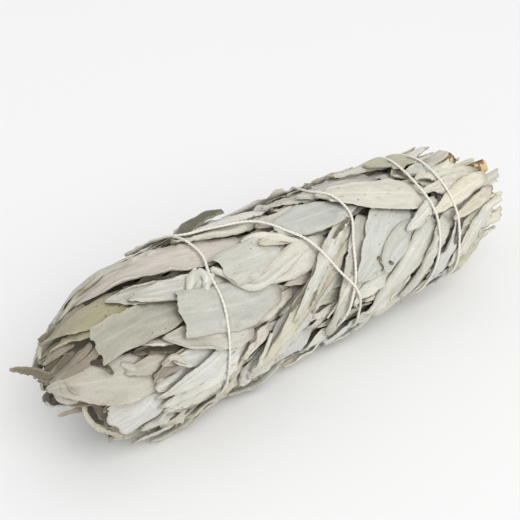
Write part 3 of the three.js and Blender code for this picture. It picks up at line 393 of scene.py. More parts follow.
def ripple(draw, along, across, pitch_along, pitch_across, waves=7):
    """Soft random waves of about unit height, with these pitches along and across a leaf."""
    total = 0
    for _ in range(waves):
        a = draw.uniform(-1, 1) / pitch_along
        b = draw.uniform(-1, 1) / pitch_across
        phase = draw.uniform(0, 6.3)
        total = total + np.sin(2 * np.pi * (a * along + b * across) + phase)
    return total / math.sqrt(waves / 2) / 1.4


def linear(channel):
    """Colour value in light, for one as it looks on screen."""
    return ((channel + 0.055) / 1.055) ** 2.4


# ---- the outline surface ----
MERIDIAN_STEP = 0.5
OUTLINE_ROWS = np.array(OUTLINE, float)
INSET_ROWS = np.array(CORE_INSET, float)
CURVE_SAMPLES = 60       # for each leg of a curve, before it is spaced evenly


def smooth_curve(points, spacing, centripetal=False):
    """Points spaced evenly along a smooth curve through the given ones.

    Where those lie unevenly, centripetal keeps the curve from overshooting.
    """
    points = np.asarray(points, float)
    first = 2 * points[0] - points[1] if centripetal else points[0]
    last = 2 * points[-1] - points[-2] if centripetal else points[-1]
    held = np.vstack([first, points, last])
    dense = []
    for a, b, c, d in zip(held, held[1:], held[2:], held[3:]):
        t0 = t1 = t2 = 1.0
        if centripetal:
            t0, t1, t2 = [max(np.linalg.norm(q - p) ** 0.5, 1e-4) for p, q in ((a, b), (b, c), (c, d))]
        leave = (b - a) / t0 - (c - a) / (t0 + t1) + (c - b) / t1
        arrive = (c - b) / t1 - (d - b) / (t1 + t2) + (d - c) / t2
        leave, arrive = leave * t1, arrive * t1
        t = np.linspace(0, 1, CURVE_SAMPLES, endpoint=False)[:, None]
        dense.append(
            (2 * t**3 - 3 * t**2 + 1) * b + (t**3 - 2 * t**2 + t) * leave
            + (-2 * t**3 + 3 * t**2) * c + (t**3 - t**2) * arrive
        )
    dense = np.vstack([*dense, held[-2:-1]])
    along = np.r_[0, np.cumsum(np.linalg.norm(np.diff(dense, axis=0), axis=1))]
    count = round(along[-1] / spacing)
    places = np.linspace(0, along[-1], count + 1)
    return np.stack([np.interp(places, along, column) for column in dense.T], 1)


MERIDIAN = smooth_curve(OUTLINE_ROWS[:, :2], MERIDIAN_STEP)
RUN_LENGTH = (len(MERIDIAN) - 1) * MERIDIAN_STEP
RUNS = np.arange(len(MERIDIAN)) * MERIDIAN_STEP


def run_at(x):
    """Distance run along the outline from the leaf-tip end, at a place x."""
    return float(np.interp(x, MERIDIAN[:, 0], RUNS))


def outline_at(run):
    """x, radius and outward direction of the outline at these runs."""
    place = np.clip(np.asarray(run, float) / MERIDIAN_STEP, 0, len(MERIDIAN) - 1.001)
    i = place.astype(int)
    a, b = MERIDIAN[i], MERIDIAN[i + 1]
    share = (place - i)[..., None]
    at = a + (b - a) * share
    step = b - a
    length = np.linalg.norm(step, axis=-1)
    return at[..., 0], at[..., 1], -step[..., 1] / length, step[..., 0] / length


def bare_height(run):
    """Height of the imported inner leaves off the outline, which is below 0."""
    return -np.interp(outline_at(run)[0], INSET_ROWS[:, 0], INSET_ROWS[:, 1])


def round_axis(x, radius, angle):
    """Points at a place along the bunch's axis, with their distance and angle from it."""
    turn = np.radians(angle)
    return stack(x, -radius * np.cos(turn), radius * np.sin(turn))


def straight_point(run, angle, height):
    """Points of the straight bunch: run along the outline, angle round it, height off it."""
    x, radius, out_x, out_r = outline_at(run)
    x = x + out_x * height + np.minimum(run, 0) + np.maximum(run - RUN_LENGTH, 0)
    return round_axis(x, radius + out_r * height, angle)


def settle(points):
    """From the straight bunch in millimetres to the lying one in metres."""
    sag = np.interp(points[..., 0], OUTLINE_ROWS[:, 0], OUTLINE_ROWS[:, 2])
    moved = points - np.array([MIDDLE_X, MIDDLE_Y, -AXIS_HEIGHT])
    moved[..., 2] += sag
    return moved * MM


def footprint(points, near_angle):
    """Run and angle of the outline's nearest places."""
    radius = np.hypot(points[..., 1], points[..., 2])
    apart = (MERIDIAN[:, 0] - points[..., :1]) ** 2 + (MERIDIAN[:, 1] - radius[..., None]) ** 2
    angle = np.degrees(np.arctan2(points[..., 2], -points[..., 1]))
    angle = angle + 360 * np.round((near_angle - angle) / 360)
    return RUNS[apart.argmin(-1)], angle


# ---- the pile: how high each stem's leaves already reach, on a grid over the outline ----
CELLS_PER_TURN = 240
CELL_RUN = 0.6
RUN_CELLS = math.ceil(RUN_LENGTH / CELL_RUN) + 1
WEDGE_ANGLE = 360 / STEM_COUNT


def stem_angle(k):
    return k * WEDGE_ANGLE + FIRST_STEM_ANGLE


def wedge_of(angle):
    """Number of the stem nearest to this angle."""
    return int(np.round((angle - stem_angle(0)) / WEDGE_ANGLE)) % STEM_COUNT


def cells(run, angle):
    """Rows and columns of the grid at these places."""
    row = np.clip(np.round(np.asarray(run) / CELL_RUN), 0, RUN_CELLS - 1).astype(int)
    column = np.round(np.asarray(angle) * CELLS_PER_TURN / 360).astype(int) % CELLS_PER_TURN
    return row, column


bare_rows = bare_height(np.arange(RUN_CELLS) * CELL_RUN) - FILLING_DEPTH
pile = np.full((STEM_COUNT, RUN_CELLS, CELLS_PER_TURN), -np.inf)
for cell in range(CELLS_PER_TURN):
    pile[wedge_of(cell * 360 / CELLS_PER_TURN), :, cell] = bare_rows
cover = pile.copy()      # the same for the solid model's own leaves alone, between which a leaf can grow


def clear_height(stem, run, angle):
    """Lowest heights at which a leaf of this stem clears everything laid so far."""
    heights = pile[(slice(None), *cells(run, angle))] + CLEARANCE
    heights[stem] += FOLD_GAP - CLEARANCE
    return heights.max(0)


# ---- leaves ----
def seeded_random(seed):
    """Draws between 0 and 1, the same ones that the solid model's hidden leaves take."""
    state = seed
    top = 0xFFFFFFFF
    while True:
        state = (state + 0x6D2B79F5) & top
        word = ((state ^ (state >> 15)) * (state | 1)) & top
        word ^= (word + (word ^ (word >> 7)) * (word | 61)) & top
        yield (word ^ (word >> 14)) / 4294967296


def tip_limit(angle):
    """How near the blunt end a tip may reach at this angle, along X."""
    turn = angle if angle < 180 else angle - 360
    angles, places = np.array(TIP_LIMITS).T
    return np.interp(turn, angles, places) if turn > -110 else places[-1]


def hidden_leaves():
    """The solid model's hidden leaves, narrowed near the top edge and with their tips behind it."""
    draws = seeded_random(HIDDEN_SEED)

    def around(spread):
        return spread * (next(draws) - 0.5)

    for row, row_tip in enumerate(ROW_TIPS):
        for i in range(ROW_LEAF_COUNT):
            share = (i + (0.5 if row % 2 else 0) + 0.25 + around(0.3)) / ROW_LEAF_COUNT
            angle = HIDDEN_FROM + (HIDDEN_TO - HIDDEN_FROM) * share
            tip = max(row_tip + around(8), tip_limit(angle))
            base = min(tip + ROW_LEAF_LENGTH * (0.8 + 0.3 * next(draws)), LAST_BASE)
            lean = around(20)
            middle = angle + around(6)
            width = ROW_LEAF_WIDTH * (0.75 + 0.35 * next(draws))
            width = width * (NARROWED if angle < NARROWED_UNDER else 1)
            blunt = 0.15 + 0.3 * next(draws)
            lifts = (0.9 * next(draws), 0.3 * next(draws), 0.9 * next(draws), 0)
            tone = HIDDEN_TONES[(row * ROW_LEAF_COUNT + i) * 3 % len(HIDDEN_TONES)]
            tip_angle = max(angle - lean, HIDDEN_TIPS_FROM)
            yield (base, angle + lean, (base + tip) / 2, middle, tip, tip_angle, width, blunt, *lifts, tone)


def random_lifts(draw, most):
    """Lifts of a leaf's upper edge, midrib and lower edge, and its tip's curl."""
    return [draw.uniform(0, highest) for highest in most]


def leaning_row(base, tip, angle, lean, *rest):
    """A row as in LEAVES, for a leaf whose two ends lie this many degrees to either side of its middle."""
    return (base, angle + lean, (base + tip) / 2, angle, tip, angle - lean, *rest)


def filling_leaves(seed, per_row, narrowest, widest):
    """Crumpled leaves under and between the listed ones, which show only in the gaps."""
    draw = np.random.default_rng(seed)
    for row, tip_x in enumerate(FILLING_TIPS):
        for i in range(per_row):
            angle = 360 / per_row * (i + 0.5 * (row % 2) + draw.uniform(-0.3, 0.3)) + FILLING_FROM
            tip = max(tip_x + draw.uniform(-4, 4), tip_limit(angle))
            base = min(tip + draw.uniform(18, 30), FILLING_LAST_BASE)
            lean = draw.uniform(-14, 14)
            width = draw.uniform(narrowest, widest)
            lifts = random_lifts(draw, (1.2, 0.5, 1.2, 0.8))
            tone = str(draw.choice(BLUNT_END_TONES if tip_x < BLUNT_END else FILLING_TONES))
            if angle > FILLING_TO:
                continue
            blunt = draw.uniform(0.1, 0.35)
            yield leaning_row(base, tip, angle, lean, width, blunt, *lifts, tone)


def over_leaves():
    """Narrow leaves that stray across the rows of the far side and the underside."""
    draw = np.random.default_rng(OVER_SEED)
    for i in range(OVER_COUNT):
        tip = OVER_TIPS[0] + OVER_TIPS[1] * (i + draw.uniform(-0.5, 0.5)) / OVER_COUNT
        base = min(tip + draw.uniform(24, 42), LAST_BASE)
        angle = OVER_ANGLES[0] + OVER_ANGLES[1] * (i * GOLDEN_SHARE % 1)
        lean = draw.uniform(-24, 24)
        width = draw.uniform(3, 6.5)
        lifts = random_lifts(draw, (0.9, 0.4, 0.9, 0.6))
        tone = str(draw.choice(HIDDEN_TONES))
        blunt = draw.uniform(0.1, 0.6)
        yield leaning_row(base, tip, angle, lean, width, blunt, *lifts, tone)


def width_share(t, blunt):
    """A leaf's width at shares t of its length, as a share of the widest."""
    if blunt < TORN:
        blunt = 0.5 * blunt
    growing = BASE_WIDTH + (1 - BASE_WIDTH) * np.sin(np.pi / 2 * np.minimum(t / WIDEST_AT, 1))
    narrowing = np.cos(np.pi / 2 * np.clip((t - WIDEST_AT) / (1 - WIDEST_AT), 0, 1)) ** 0.8
    return np.where(t < WIDEST_AT, growing, blunt + (1 - blunt) * narrowing)


def open_to_core(stem, run, angle):
    """Whether no other stem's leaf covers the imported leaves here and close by."""
    backs, turns = np.meshgrid(np.arange(-1, 6), np.arange(-8, 9, 2), indexing="ij")
    others = np.delete(cover, stem, 0)[(slice(None), *cells(run - backs, angle + turns))]
    return not (others > bare_height(run - backs) + 0.2).any()


def find_root(base_run, base_angle):
    """Stem, run and angle of the nearest place in the base's own wedge that no other stem's leaf covers.

    Three degrees count as much as one millimetre.
    """
    stem = wedge_of(base_angle)
    centre = stem_angle(stem) + 360 * round((base_angle - stem_angle(stem)) / 360)
    safe = WEDGE_ANGLE / 2 - WEDGE_MARGIN
    last_run = run_at(STRAP_ROOT)
    best = (math.inf, min(base_run, last_run), min(max(base_angle, centre - safe), centre + safe))
    for back in np.arange(0, min(ROOT_SEARCH, last_run - base_run), 1):
        for angle in centre + safe * np.arange(-1, 1.1, 0.25):
            cost = back + abs(angle - base_angle) / 3
            if cost < best[0] and open_to_core(stem, base_run + back, angle):
                best = (cost, base_run + back, angle)
    return stem, best[1], best[2]


BEND_SPAN = 0.05         # share of a leaf's length over which its bend is measured
BEND_ROOM = 0.7          # share of the bend's radius that half the width may take up


def lay_out(line, t, across, width, blunt, edge_draw=None):
    """Run and angle of a leaf's mesh places: shares t of its length, and across from -1 to 1.

    Where the leaf bends within its own plane, it is narrowed so that it doesn't fold over itself.
    """
    inside = np.clip(t, 0, 1)
    here = straight_point(*line(inside), 0)
    before = here - straight_point(*line(np.clip(t - BEND_SPAN, 0, 1)), 0)
    after = straight_point(*line(np.clip(t + BEND_SPAN, 0, 1)), 0) - here
    lengths = np.linalg.norm(before, axis=1), np.linalg.norm(after, axis=1)
    cosine = (before * after).sum(1) / np.maximum(lengths[0] * lengths[1], 1e-9)
    turn = np.where(np.minimum(*lengths) > 1e-6, np.arccos(np.clip(cosine, -1, 1)), 0)
    tightest = BEND_ROOM * (lengths[0] + lengths[1]) / 2 / np.maximum(turn, 1e-3)
    along = unit(before + after)
    side = unit(np.cross(along, straight_point(*line(inside), 1) - here))
    length = arc_length(line)
    half = np.minimum(width / 2 * width_share(inside, blunt), tightest)
    offsets = half[:, None] * across
    reach = ((t - inside) * length)[:, None] * np.ones_like(across)
    if edge_draw is not None:
        offsets, reach = wear_edges(edge_draw, inside * length, length, half, across, blunt)
    points = here[:, None] + side[:, None] * offsets[..., None] + along[:, None] * reach[..., None]
    return footprint(points, line(inside)[1][:, None])


def wear_edges(draw, along, length, half, across, blunt):
    """Offsets across and along a leaf that give it an uneven edge, and a rounded tip or a torn end."""
    uneven = [0.17 * ripple(draw, along, 0, 10, 1) + 0.03 * ripple(draw, along, 0, 2, 1) for _ in across[:2]]
    offsets = half[:, None] * across
    offsets += np.clip(-across, 0, 1) * uneven[0][:, None] + np.clip(across, 0, 1) * uneven[1][:, None]
    near_end = smoothstep(along, 0.75 * length, length)[:, None]
    if blunt >= TORN:
        return offsets, near_end * (0.6 * ripple(draw, across * half[-1], 0, 4, 1, 4) - 0.4 * across**2)
    tip_half = max(half[-1], 0.6)
    past_shoulder = np.clip((along - (length - 1.3 * tip_half)) / (1.3 * tip_half), 0, 0.98)
    return offsets * np.sqrt(1 - past_shoulder**2)[:, None], np.zeros_like(offsets)


def arc_length(line):
    points = straight_point(*line(np.linspace(0, 1, 21)), 0)
    return np.linalg.norm(np.diff(points, axis=0), axis=1).sum()


BRIDGING_PASSES = 6
BRIDGED = np.array([3.5, 1.6])        # size of the hollows that a leaf bridges, along and across it
EVENED = np.array([0.8, 0.5])         # size of the bumps that it evens out


def rest_on_pile(stem, run, angle, spacing):
    """Heights of a stiff leaf lying on the pile: it bridges hollows and bends over bumps."""
    floor = clear_height(stem, run, angle)
    heights = floor
    for _ in range(BRIDGING_PASSES):
        heights = np.maximum(blur(heights, BRIDGED / spacing), floor)
    return np.maximum(blur(heights, EVENED / spacing), floor)


def fill_between(run, angle, height, visit):
    """Calls visit with a leaf's places sampled more finely than the pile's cells."""
    rows = np.linspace(0, run.shape[0] - 1, 2 * run.shape[0])
    columns = np.linspace(0, run.shape[1] - 1, 3 * run.shape[1])

    def finer(grid):
        grid = np.stack([np.interp(rows, np.arange(grid.shape[0]), column) for column in grid.T], 1)
        return np.stack([np.interp(columns, np.arange(grid.shape[1]), row) for row in grid])

    visit(cells(finer(run), finer(angle)), finer(height))


SHORTEST_MESH = 16       # steps along the shortest leaf
FLATTENED_OVER = 3       # length over which a pressed leaf comes down to the floor


def lay_leaf(row, number, mesh, filling=False, flat_from=None):
    """Lays a leaf on the pile and raises the pile by it; past flat_from along it, it is pressed flat."""
    base_x, base_angle, middle_x, middle_angle, tip_x, tip_angle, width, blunt = row[:8]
    if filling:
        stem, root_run, root_angle = wedge_of(base_angle), run_at(base_x), base_angle
    else:
        stem, root_run, root_angle = find_root(run_at(base_x), base_angle)
    starts = np.array([root_run, root_angle])
    tips = np.array([run_at(tip_x), tip_angle])
    bow = 2 * np.array([run_at(middle_x), middle_angle]) - (starts + tips) / 2

    def line(t):
        t = np.asarray(t, float)[..., None]
        point = (1 - t) ** 2 * starts + 2 * t * (1 - t) * bow + t**2 * tips
        return point[..., 0], point[..., 1]

    length = arc_length(line)
    step, columns = mesh
    count = max(round(length / step), SHORTEST_MESH)
    t = np.linspace(0, 1, count + 1)
    across = np.linspace(-1, 1, columns + 1)
    across = 1.3 * across - 0.3 * across**3     # the faces grow narrower towards the edges
    run, angle = lay_out(line, t, across, width, blunt, np.random.default_rng(EDGE_SEED + number))
    spacing = np.array([length / count, width / columns])
    heights = rest_on_pile(stem, run, angle, spacing)
    if not filling:
        heights = heights + CROWN * width / 10 * (1 - np.abs(across) ** 2) * smoothstep(t, 0.1, 0.4)[:, None]
    if flat_from is not None:
        flattened = np.clip((t * length - flat_from) / FLATTENED_OVER, 0, 1)[:, None]
        _, radius, _, out_r = outline_at(run)
        plane = (AXIS_HEIGHT / -np.sin(np.radians(angle)) - radius) / out_r - LAYER
        heights = heights + (plane - heights) * flattened
    root = np.clip(1 - t * length / ROOT_RUN, 0, 1)[:, None] ** 1.3
    heights = heights + (bare_height(root_run) - ROOT_DEPTH - heights) * root
    margin = 1 + EDGE_GAP * 2 / width
    wide = lay_out(line, np.append(t, 1 + EDGE_GAP / length), across * margin, width, blunt)
    raised = np.vstack([heights, heights[-1:]]) + (FILLING_LAYER if filling else LAYER)

    def raise_pile(places, tops):
        np.maximum.at(pile[stem], places, tops)
        if not filling:
            np.maximum.at(cover[stem], places, tops)

    fill_between(*wide, raised, raise_pile)
    return {"stem": stem, "run": run, "angle": angle, "heights": heights, "t": t, "across": across,
            "length": length, "width": width, "blunt": blunt, "lifts": row[8:12], "tone": row[12],
            "number": number, "filling": filling}


def all_leaves():
    """Every leaf as laid: deep inner ones, then the rest from the blunt end on, and the pressed two."""
    laid = []
    for row in sorted(filling_leaves(*FILLING_UNDER), key=lambda row: row[0]):
        laid.append(lay_leaf(row, len(laid), PLAIN_LEAF_MESH, filling=True))
    clear_x, clear_angle = TOP_CLEAR
    between = [row for row in filling_leaves(*FILLING_BETWEEN) if row[4] > clear_x or row[5] < clear_angle]
    strayed = list(over_leaves())
    order = {row: row[0] for row in [*LEAVES, *hidden_leaves(), *strayed]}
    order.update({row: row[0] - BETWEEN_LAG for row in between})
    for row in sorted(order, key=order.get):
        mesh = LEAF_MESH if row in LEAVES else PLAIN_LEAF_MESH
        laid.append(lay_leaf(row, len(laid), mesh, filling=row in between or row in strayed))
    for base_x, base_angle, tip_x, tip_angle, width in PRESSED_LEAVES:
        middle = ((base_x + tip_x) / 2, (base_angle + tip_angle) / 2)
        row = (base_x, base_angle, *middle, tip_x, tip_angle, width, 0.4, 0, 0, 0, 0, "grey")
        laid.append(lay_leaf(row, len(laid), LEAF_MESH, flat_from=PRESSED_FROM))
    return laid


leaves = all_leaves()


# ---- thread: its line, wound on the pile before the free edges spring up ----
THREAD_STEP = 0.4
AROUND_PER_DEGREE = math.radians(22)     # length of a degree round the bunch, on its mean radius of 22
WOUND_AT_ONCE = round(38 / THREAD_STEP)  # steps of thread that are wound before the pile is raised by them
STILL_RISING = round(16 / THREAD_STEP)   # the last steps, which the pile isn't raised by yet
FEELERS = ((0, 0), (0.6, 0), (-0.6, 0), (0, 1.5), (0, -1.5))     # places felt under the thread: (run, angle)
TAUT_REACH = 12          # steps to either side over which the thread is drawn taut
TAUT_WIDTH = 2.2
TAUT_PASSES = 8
PRESSED_IN = 0.15        # how far the taut thread sinks into the leaves


def wind_thread():
    """Run, angle and height of the thread's middle, each turn over what lies there already."""
    run, angle = places_along(THREAD_ROUTE)
    tops = pile.max(0)
    radius = THREAD_DIAMETER / 2
    heights = np.empty(len(run))
    for start in range(0, len(run), WOUND_AT_ONCE):
        piece = slice(start, start + WOUND_AT_ONCE)
        feelers = [tops[cells(run[piece] + aside, angle[piece] + turn)] for aside, turn in FEELERS]
        heights[piece] = np.max(feelers, 0) + radius
        laid = slice(max(start - WOUND_AT_ONCE - STILL_RISING, 0), max(start - STILL_RISING, 0))
        for aside in (-radius, 0, radius):
            np.maximum.at(tops, cells(run[laid] + aside, angle[laid]), heights[laid] + radius)
    return run, angle, draw_taut(heights)


def places_along(route):
    """Run and angle of even steps along a route of (along X, angle), and the height where it gives one."""
    route = np.array(route, float)
    route[:, 1] *= AROUND_PER_DEGREE
    line = smooth_curve(route, THREAD_STEP, centripetal=True)
    return np.interp(line[:, 0], MERIDIAN[:, 0], RUNS), line[:, 1] / AROUND_PER_DEGREE, *line[:, 2:].T


def draw_taut(heights):
    """The thread bridges hollows between the leaves that stand highest under it."""
    places = np.arange(-TAUT_REACH, TAUT_REACH + 1)
    weights = np.exp(-0.5 * (places * THREAD_STEP / TAUT_WIDTH) ** 2)
    weights /= weights.sum()

    def evened(line):
        return np.convolve(np.pad(line, TAUT_REACH, "edge"), weights, "valid")

    taut = heights
    for _ in range(TAUT_PASSES):
        taut = np.maximum(evened(taut), heights - PRESSED_IN)
    return evened(taut)


thread_run, thread_angle, thread_height = wind_thread()


# ---- free edges and tips spring up, from the last leaf laid to the first, under the ones over them ----
def height_in_box():
    """Greatest height at which a leaf stays by the solid model's box, on the grid over the outline."""
    x, radius, _, out_r = outline_at(np.arange(RUN_CELLS) * CELL_RUN)
    turn = np.radians(np.arange(CELLS_PER_TURN) * 360 / CELLS_PER_TURN)
    sag = np.interp(x, OUTLINE_ROWS[:, 0], OUTLINE_ROWS[:, 2])[:, None]
    low, high = np.array(cad_box) / MM
    sides = np.where(np.cos(turn) > 0, -low[1] + SPARE - MIDDLE_Y, high[1] + SPARE + MIDDLE_Y)
    levels = np.where(np.sin(turn) > 0, high[2] + SPARE - AXIS_HEIGHT - sag, AXIS_HEIGHT + sag)
    reach = np.minimum(sides / np.abs(np.cos(turn)).clip(1e-6), levels / np.abs(np.sin(turn)).clip(1e-6))
    return (reach - radius[:, None]) / out_r[:, None].clip(0.3)


box_ceiling = height_in_box()
ceiling = box_ceiling.copy()     # how high a leaf may still reach under what lies over it
thread_underside = thread_height - THREAD_DIAMETER / 2
for aside in (-0.8, 0, 0.8):
    for turn in (-2, 0, 2):
        np.minimum.at(ceiling, cells(thread_run + aside, thread_angle + turn), thread_underside)


def lowest_around(grid, reach):
    """Lowest value within so many cells of each one."""
    padded = np.pad(grid, reach, "edge")
    size = range(2 * reach + 1)
    return np.min([padded[a:a + grid.shape[0], b:b + grid.shape[1]] for a in size for b in size], 0)


AIR = 0.1                # left free over a leaf that springs up
PAINTED_SHADE_UNDER = 3      # a leaf with something this near over it is painted shaded there
ROLLED_UNDER = 0.55      # share of the edges that roll under, if they aren't lifted much
ROLLED_UP = 0.75         # edges drawn under this roll up, and the rest flare


def spring_up(leaf):
    """Lifts a leaf's free edges and tip, and chooses how its two edges roll."""
    up, mid, low, curl = leaf["lifts"]
    draw = np.random.default_rng(SPRING_SEED + leaf["number"])
    across, along = leaf["across"], leaf["t"][:, None] * leaf["length"]
    heights = leaf["heights"]
    open_along = smoothstep(leaf["t"], 0.12, 0.5)[:, None]
    tipward = np.clip((leaf["t"] - 0.6) / 0.4, 0, 1)[:, None] ** 2
    wanted = mid * (1 - np.abs(across) ** 1.6)
    rolls = {}
    for side, lift in ((-1, low), (1, up)):
        toward = side * across
        rising = np.clip(toward, 0, 1) ** 2.2
        wave = 0.6 + 0.5 * ripple(draw, along, 0, 11, 1, 4)
        uneven = 0.7 + 0.3 * wave
        way = draw.uniform()
        strength = open_along[:, 0] * np.clip(0.5 + wave[:, 0], 0, 1)
        if way < ROLLED_UNDER and lift < 0.8:
            rolls[side] = -draw.uniform(1.2, 2.2) * strength
            wanted = wanted + (lift + draw.uniform(0.4, 0.8)) * smoothstep(toward, 0.1, 0.75) * uneven
        elif way < ROLLED_UP:
            rolls[side] = draw.uniform(1.2, 4.2) * strength
            wanted = wanted + (lift + 0.15) * rising * uneven
        else:
            rolls[side] = 0.4 * strength
            flare = draw.choice((0.2, 0.8)) * (2 if leaf["filling"] else 1)
            wanted = wanted + (lift + 0.2) * rising * uneven
            wanted = wanted + flare * smoothstep(toward, 0.7, 1.05) * np.clip(wave, 0, 2)
    wanted = wanted * open_along + curl * tipward
    here = cells(leaf["run"], leaf["angle"])
    free = ceiling[here] - heights - LAYER - AIR
    # Painted shade: where another leaf or the thread lies close over this leaf, the place is marked to be
    # painted darker.
    covered = (free < PAINTED_SHADE_UNDER) & (ceiling < box_ceiling)[here]
    leaf["shelter"] = blur(np.where(covered, 1.0, 0.0), (0.7, 0.7))
    room = lowest_around(np.clip(free, 0, 20), 1)
    room = np.minimum(blur(room, (1.5, 1.5)), room + 0.2)
    lifted = np.clip(wanted, 0, room)
    leaf["heights"] = heights + lifted

    def lower_ceiling(places, undersides):
        np.minimum.at(ceiling, places, undersides)

    fill_between(leaf["run"], leaf["angle"], leaf["heights"], lower_ceiling)
    roll_edges(leaf, rolls, lifted, room - lifted)


STRIP_MESH = 0.7         # the mesh of a strip takes up this share of its width before it rolls


def roll_edges(leaf, rolls, lifted, room):
    """Rolls the strip along each edge, up where it turns above 0 and under where it turns below 0."""
    across = leaf["across"]
    half = leaf["width"] / 2 * width_share(leaf["t"], leaf["blunt"])[:, None]
    strip = np.minimum(ROLL_STRIP, 0.5 * half)
    places = across + 0 * half
    rise = 0 * places
    for side, roll in rolls.items():
        turn = np.maximum(np.abs(roll)[:, None], 0.01)
        bend = turn / strip
        into = np.clip(side * across * half - (half - STRIP_MESH * strip), 0, None) / STRIP_MESH
        widest = np.sin(np.minimum(turn, np.pi / 2)) / bend
        reach = np.sin(bend * into) / bend * np.minimum(1, STRIP_MESH * strip / widest)
        height = (1 - np.cos(bend * into)) / bend
        tallest = (1 - np.cos(np.minimum(turn, np.pi))) / bend
        near_edge = side * across > 0.7
        spare = np.where(near_edge, np.where(roll[:, None] > 0, room, lifted), np.inf).min(1, keepdims=True)
        places = np.where(into > 0, side * (1 - STRIP_MESH * strip / half + reach / half), places)
        rise = rise + np.sign(roll)[:, None] * height * np.clip(spare / tallest, 0, 1)
    for name in ("run", "angle", "heights"):
        leaf[name] = np.stack([np.interp(where, across, row) for where, row in zip(places, leaf[name])])
    leaf["heights"] += rise


for leaf in reversed(leaves):
    spring_up(leaf)


# ---- meshes ----
def new_object(name, bm, material, node):
    """A finished piece, which takes the place of a node of the solid model."""
    mesh = bpy.data.meshes.new(name)
    bm.to_mesh(mesh)
    bm.free()
    mesh.polygons.foreach_set("use_smooth", np.ones(len(mesh.polygons), bool))
    mesh.materials.append(material)
    piece = bpy.data.objects.new(name, mesh)
    bpy.context.scene.collection.objects.link(piece)
    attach(piece, "root")
    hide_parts(node)


CREASES = 4              # lengthwise, in each leaf


def leaf_faces(leaf, draw):
    """Under and upper face of a leaf, with its creases, ruffled edges and groove over the midrib."""
    t, across = leaf["t"][:, None], leaf["across"]
    along = t * leaf["length"]
    aside = across * leaf["width"] / 2
    open_part = smoothstep(along, 2, 8)
    edge = np.abs(across)
    crumpled = 2.2 if leaf["filling"] else 1
    detail = 0.1 * crumpled * ripple(draw, along, aside, 12, 2.8)
    detail = detail + 0.05 * crumpled * ripple(draw, along, aside, 3, 1.8)
    detail = detail + 0.3 * crumpled * edge**3 * ripple(draw, along, np.sign(across) * 5, 5, 30)
    for _ in range(CREASES):
        fold = aside - draw.uniform(-0.4, 0.4) * leaf["width"] - draw.uniform(-0.12, 0.12) * along
        wave = np.sin(along / leaf["length"] * draw.uniform(2, 6) + draw.uniform(0, 6))
        fade = smoothstep(wave, -0.3, 0.6)
        detail = detail - draw.uniform(-0.35, 0.5) * np.exp(-np.abs(fold) / 0.6) * fade
    detail = detail - draw.uniform(-0.2, 0.25) * smoothstep(edge, 0.8, 1.0)
    detail = detail - 0.2 * np.exp(-((aside / 0.4) ** 2)) * (1 - t)
    heights = leaf["heights"] + LAYER - LEAF_THICKNESS / 2 + detail * open_part
    middle = straight_point(leaf["run"], leaf["angle"], heights)
    half = LEAF_THICKNESS / 2 * (0.3 + 0.7 * smoothstep(to_edge(leaf), 0, 0.8))
    return thicken(middle, straight_point(leaf["run"], leaf["angle"], heights + 1), half)


def thicken(middle, above, half):
    """The two faces of a sheet, in metres, given its middle, points outside it and half its thickness."""
    normals = np.cross(np.gradient(middle, axis=0), np.gradient(middle, axis=1))
    normals /= np.maximum(np.linalg.norm(normals, axis=2, keepdims=True), 1e-9)
    normals *= np.sign((normals * (above - middle)).sum())
    return np.array([settle(middle + side * half[..., None] * normals) for side in (-1, 1)])


def to_edge(leaf):
    """Distance from a leaf's edge, over its mesh."""
    t, across = leaf["t"][:, None], leaf["across"]
    half = leaf["width"] / 2 * width_share(t, leaf["blunt"])
    return np.minimum((1 - np.abs(across)) * half, leaf["length"] * (1 - t))


def mark_vertex(bm, vert, marks, row, column):
    """Copies one place of the grids in marks to a vertex."""
    for name, grid in marks.items():
        vert[bm.verts.layers.float_vector[name]] = grid[row, column]


def faces_at(verts):
    """The faces that meet at these vertices, always in the same order."""
    return list(dict.fromkeys(face for vert in verts for face in vert.link_faces))


def slab(bm, points, marks):
    """Closed slab between two grids of points[face, row, column], with marks on its vertices."""
    rows, columns = points.shape[1:3]
    lower = bmesh.ops.create_grid(bm, x_segments=rows - 1, y_segments=columns - 1, size=0.5)["verts"]
    made = bmesh.ops.extrude_face_region(bm, geom=faces_at(lower))["geom"]
    upper = [part for part in made if isinstance(part, bmesh.types.BMVert)]
    bmesh.ops.translate(bm, vec=(0, 0, 1), verts=upper)
    for vert in lower + upper:
        row = round((vert.co.x + 0.5) * (rows - 1))
        column = round((vert.co.y + 0.5) * (columns - 1))
        vert.co = points[round(vert.co.z), row, column]
        mark_vertex(bm, vert, marks, row, column)
    bmesh.ops.recalc_face_normals(bm, faces=faces_at(lower + upper))


def tube(bm, rings, marks):
    """Closed rod through rings[step, side] of points, with marks[name][step, side] on its vertices."""
    steps, sides = rings.shape[:2]
    verts = bmesh.ops.create_grid(bm, x_segments=steps - 1, y_segments=sides, size=0.5)["verts"]
    for vert in verts:
        step = round((vert.co.x + 0.5) * (steps - 1))
        side = round((vert.co.y + 0.5) * sides) % sides
        vert.co = rings[step, side]
        mark_vertex(bm, vert, marks, step, side)
    bmesh.ops.remove_doubles(bm, verts=verts, dist=0.002 * MM)
    ends = [edge for edge in bm.edges if edge.is_boundary]
    bmesh.ops.holes_fill(bm, edges=ends, sides=0)
    bmesh.ops.recalc_face_normals(bm, faces=bm.faces[:])


# What each vertex carries to the materials: its place on its leaf or rod, then its distance from the edge,
# the strength of the painted shade where other leaves cover it and its leaf's chance, and its tone.
MARKS = ("place", "share", "tone")


def marked_bmesh():
    """An empty mesh with the marks that the materials read."""
    bm = bmesh.new()
    for name in MARKS:
        bm.verts.layers.float_vector.new(name)
    return bm


